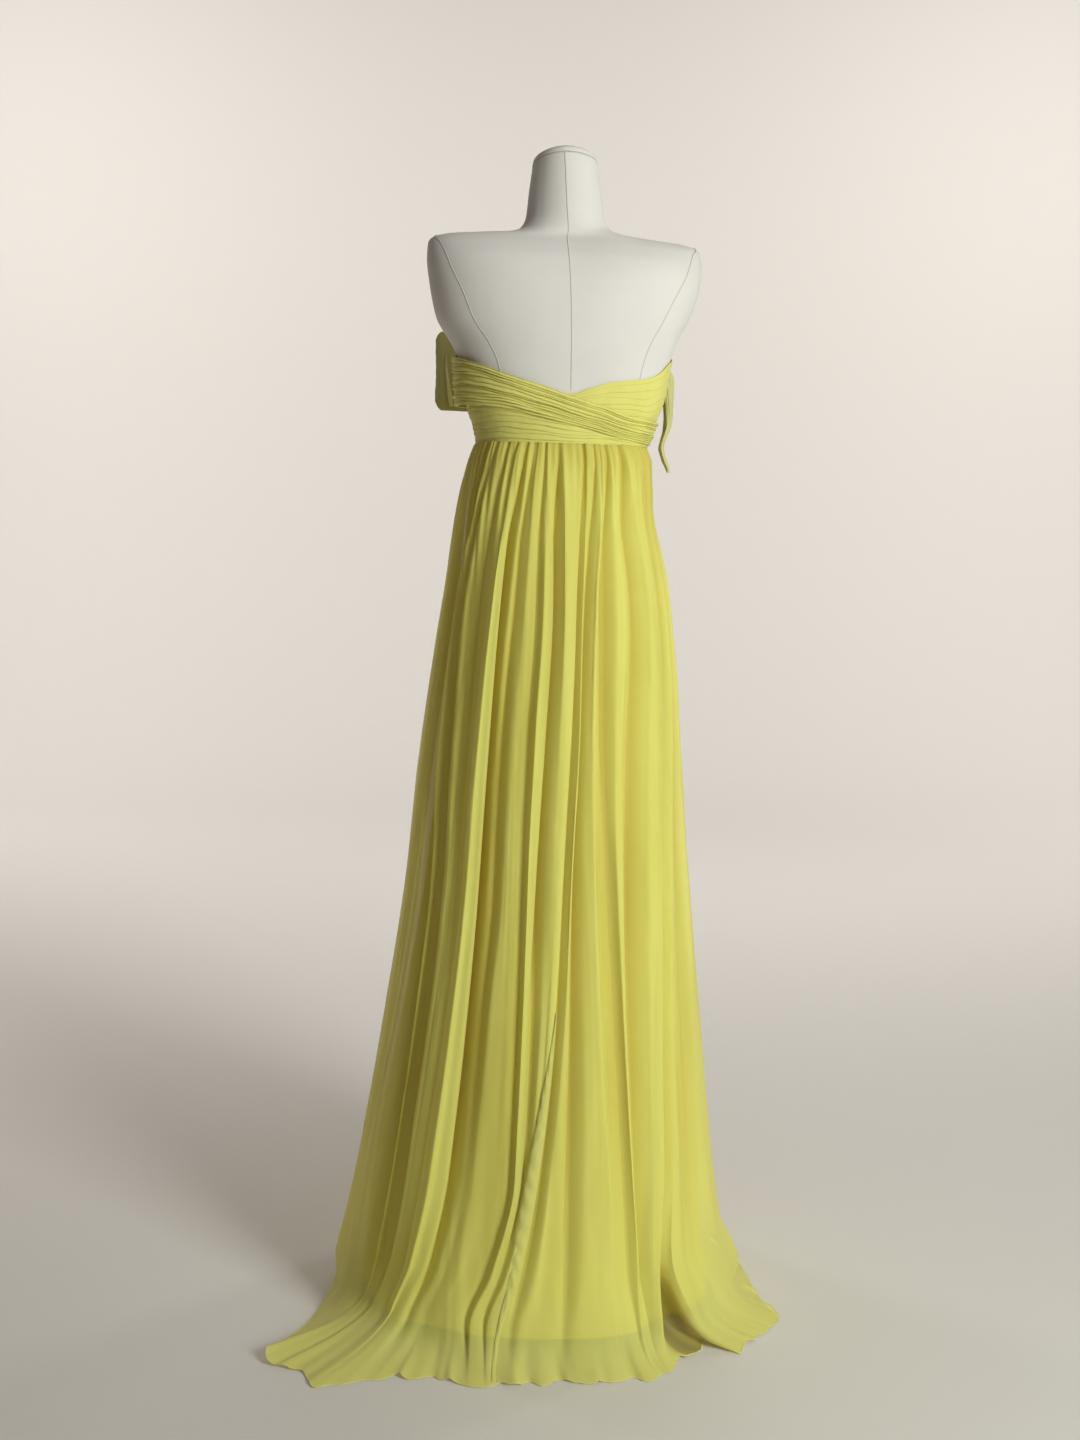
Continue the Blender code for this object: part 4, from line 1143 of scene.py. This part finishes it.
def seam_allowance(rows, heights, lines, outs, seam):
    """The turned and puckered seam allowance that shows at the centre back."""
    inside = (heights > ALLOWANCE[0, 0]) & (heights < ALLOWANCE[-1, 0])
    rows, heights, lines, outs = rows[inside], heights[inside], lines[inside], outs[inside]
    share = np.linspace(0, 1, 11)[None, :]
    width = smooth_curve(ALLOWANCE, heights)
    grid = skirt_base(lines[:, seam, None] + width * (1 - share), rows)
    reach = outs[:, seam, None] * share**3 + outs[:, seam - 1, None] * (1 - share**3)
    middle = np.sin(math.pi * share)
    slant = heights[:, None] * 230 + share * 2.6
    slant = slant + 2.2 * ripples(61, 0.7, 0.07, share, heights[:, None])
    full = np.clip(width / 3, 0, 1)
    pucker = 0.0012 * np.sin(slant) * (0.2 + 0.8 * middle)
    raised = 0.0006 + full * (0.0022 * middle**0.5 + pucker)
    grid = grid + grid_normals(grid) * (reach + raised)[..., None]
    piece = sheet_object("seam_allowance", grid, ALLOWANCE_CHIFFON)
    return piece


def lining():
    rows = section_rows(0.012, last=LINING_HEM_ROW)
    turn = np.broadcast_to(np.arange(0, 360, 2.0)[None, :], (len(rows), 180))
    base = skirt_base(turn, rows)
    padded_turn = np.concatenate([turn[:, -1:] - 360, turn, turn[:, :1] + 360], axis=1)
    normal = grid_normals(skirt_base(padded_turn, rows))[:, 1:-1]
    inset = lining_inset(turn, rows, base[..., 2])
    below_band = np.clip(rows / 3 - 0.67, 0, 1)[:, None]
    soft = 0.002 * ripples(31, 16.0, 0.3, turn, base[..., 2]) * below_band
    grid = base - normal * (inset - soft)[..., None]
    clear_of_form(grid)
    grid[0, :, 2] -= 0.001
    piece = sheet_object("skirt_lining_cloth", grid, LINING, closed=True)
    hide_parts("skirt_lining")


def bow_loop(node, side, stations, seed):
    steps = 80
    share = np.sin(np.linspace(0, math.pi / 2, steps))
    first, last = stations[0, 0], stations[-1, 0]
    reach = first + (last - first) * share
    forward, half_space, half_height, middle = smooth_curve(stations, reach).T
    order = np.concatenate([np.arange(steps), np.arange(steps - 2, -1, -1)])
    layer = np.concatenate([-np.ones(steps), np.ones(steps - 1)])
    layer[steps - 1] = 0
    across = np.linspace(-1, 1, 41)[None, :]
    out = reach[order][:, None]
    y = (-forward[order] + layer * half_space[order])[:, None] + 0 * across
    z = middle[order][:, None] + half_height[order][:, None] * across
    x = out + 0 * across
    if side < 0:
        bulge = LOOP_BULGE[1] * bell(z, LOOP_BULGE[0], LOOP_BULGE[2])
        x = x - bulge * fade(out - LOOP_DROOP[0], LOOP_DROOP[1])
    grid = np.stack([side * x, y, z], axis=-1)
    normal = grid_normals(grid)
    near = np.clip(1 - (out - first) / 0.12, 0, 1)
    waves = np.cos(across * 9.5 + 0.8 * ripples(seed, 1.0, 0.08, across, out))
    crease = (0.0022 * near + 0.0006) * waves
    soft = 0.002 * ripples(seed + 1, 1.2, 0.05, across, out) * (1 - near)
    grid = grid + normal * (soft - crease * layer[:, None])[..., None]
    half = normal * LOOP_CLOTH / 2
    # The loops have shade painted into their cloth
    piece = shell_object(node + "_cloth", grid + half, grid - half, BOW_CHIFFON_PAINTED_SHADE)
    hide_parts(node)
    extras = [loop_edge()] if side > 0 else []


def loop_edge():
    """The turned edge down the back of the left loop, in a paler chiffon that paints a highlight."""
    share = np.linspace(0, 1, 24)
    across = np.linspace(-1, 1, 7)[None, :]
    out, forward, height, half_width = smooth_curve(LOOP_EDGE, share).T[:, :, None]
    x = out + half_width * across
    y = -forward + 0.0012 * (1 - across**2)
    grid = np.stack(np.broadcast_arrays(x, y, height), axis=-1)
    edge = sheet_object("bow_loop_edge_painted_highlight", grid, EDGE_CHIFFON_PAINTED_HIGHLIGHT)
    return edge


def bow():
    bow_loop("bow_loop_left", 1, LEFT_LOOP, 41)
    bow_loop("bow_loop_right", -1, RIGHT_LOOP, 43)
    middle = KNOT_BACK - KNOT_DEPTH / 2
    angle = np.radians(np.arange(0, 360, 5))
    rings = []
    for share in np.linspace(-1, 1, 25):
        grow = 1 - 0.35 * abs(share) ** 3
        ridge = 1 - 0.05 * (0.5 - 0.5 * np.cos(6 * angle)) * (1 - abs(share) ** 2)
        x = KNOT_WIDTH / 2 * grow * ridge * np.cos(angle) * 0.98
        y = middle + KNOT_DEPTH / 2 * grow * ridge * np.sin(angle) * 0.98
        z = np.full(len(angle), BOW_HEIGHT + share * KNOT_HEIGHT / 2)
        rings.append(np.stack([x, y, z], axis=1))
    outer = np.array(rings)
    inner = outer.copy()
    inner[..., 0] *= 0.9
    inner[..., 1] = (inner[..., 1] - middle) * 0.9 + middle
    piece = shell_object("bow_knot_cloth", outer, inner, BODICE_CHIFFON, closed=True)
    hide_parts("bow_knot")


def stand():
    for name in ("form_pole", "form_base"):
        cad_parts[name].material_slots[0].material = STEEL


def turned_view(x, y, z):
    """A point given to the camera's side, turned into the part's frame."""
    a = math.radians(CAMERA_TURN)
    return Vector((x * math.cos(a) + y * math.sin(a), -x * math.sin(a) + y * math.cos(a), z))


def stage():
    """A pale floor that sweeps up into a wall behind the object, as the photograph sees it."""
    n = Nodes("pale_paper")
    n.set(Base_Color=(0.72, 0.70, 0.67, 1), Roughness=0.9, Specular_IOR_Level=0.1)
    floor_end, bend, wall_top, half_width = -4.0, 2.0, 9.0, 24.0
    profile = [(20.0, 0.0)]
    for t in np.radians(np.linspace(0, 90, 25)):
        profile.append((floor_end - bend * math.sin(t), bend * (1 - math.cos(t))))
    profile.append((floor_end - bend, wall_top))
    points = [turned_view(x, y, z) for y, z in profile for x in (-half_width, half_width)]
    faces = [(2 * i, 2 * i + 2, 2 * i + 3, 2 * i + 1) for i in range(len(profile) - 1)]
    mesh = bpy.data.meshes.new("floor")
    mesh.from_pydata(points, [], faces)
    mesh.materials.append(n.material)
    mesh.shade_smooth()
    floor = bpy.data.objects.new("floor", mesh)
    bpy.context.scene.collection.objects.link(floor)


def camera():
    tilt = math.radians(CAMERA_TILT)
    forward = turned_view(0, -math.cos(tilt), -math.sin(tilt))
    right = turned_view(-1, 0, 0)
    turn = Matrix((right, right.cross(forward), -forward)).transposed()
    place = turned_view(CAMERA_OFFSET, CAMERA_DISTANCE, CAMERA_HEIGHT)
    data = bpy.data.cameras.new("camera")
    data.lens = CAMERA_LENS
    data.sensor_width = 36.0
    obj = bpy.data.objects.new("camera", data)
    obj.matrix_world = Matrix.Translation(place) @ turn.to_4x4()
    bpy.context.scene.collection.objects.link(obj)
    bpy.context.scene.camera = obj


def area_light(name, place, target, size, power_w, colour):
    data = bpy.data.lights.new(name, "AREA")
    data.shape = "RECTANGLE"
    data.size, data.size_y = size
    data.energy = power_w
    data.color = colour
    obj = bpy.data.objects.new(name, data)
    obj.location = turned_view(*place)
    aim = turned_view(*target) - obj.location
    obj.rotation_euler = aim.to_track_quat("-Z", "Y").to_euler()
    bpy.context.scene.collection.objects.link(obj)


def lights():
    area_light("key", (-2.05, 2.46, 1.75), (0, 0, 1.15), (1.0, 1.6), 97, (0.97, 1.0, 0.95))
    area_light("side", (2.6, -0.7, 0.6), (0.1, 0, 0.4), (1.0, 1.2), 6, (1.0, 0.86, 0.74))
    area_light("overhead", (-0.3, 0.9, 3.3), (0, 0.3, 0), (2.4, 1.6), 8, (1.0, 0.98, 0.94))
    warm = (1.0, 0.97, 0.93)
    area_light("front", (-0.6, -2.6, 2.2), (0, 0, 1.0), (1.6, 1.6), 12, warm)
    area_light("backdrop_left", (3.2, -2.6, 3.4), (1.2, -6.0, 1.2), (1.5, 1.5), 120, warm)
    area_light("backdrop_right", (-3.2, -2.6, 3.4), (-1.2, -6.0, 1.2), (1.5, 1.5), 120, warm)
    world = bpy.data.worlds.new("studio")
    world.use_nodes = True
    background = world.node_tree.nodes["Background"]
    background.inputs["Color"].default_value = (1.0, 0.74, 0.60, 1)
    background.inputs["Strength"].default_value = 0.065
    bpy.context.scene.world = world


camera()
lights()
stage()
form()
stand()
lining()
skirt()
bodice()
bow()
bpy.context.scene.view_settings.view_transform = "Standard"
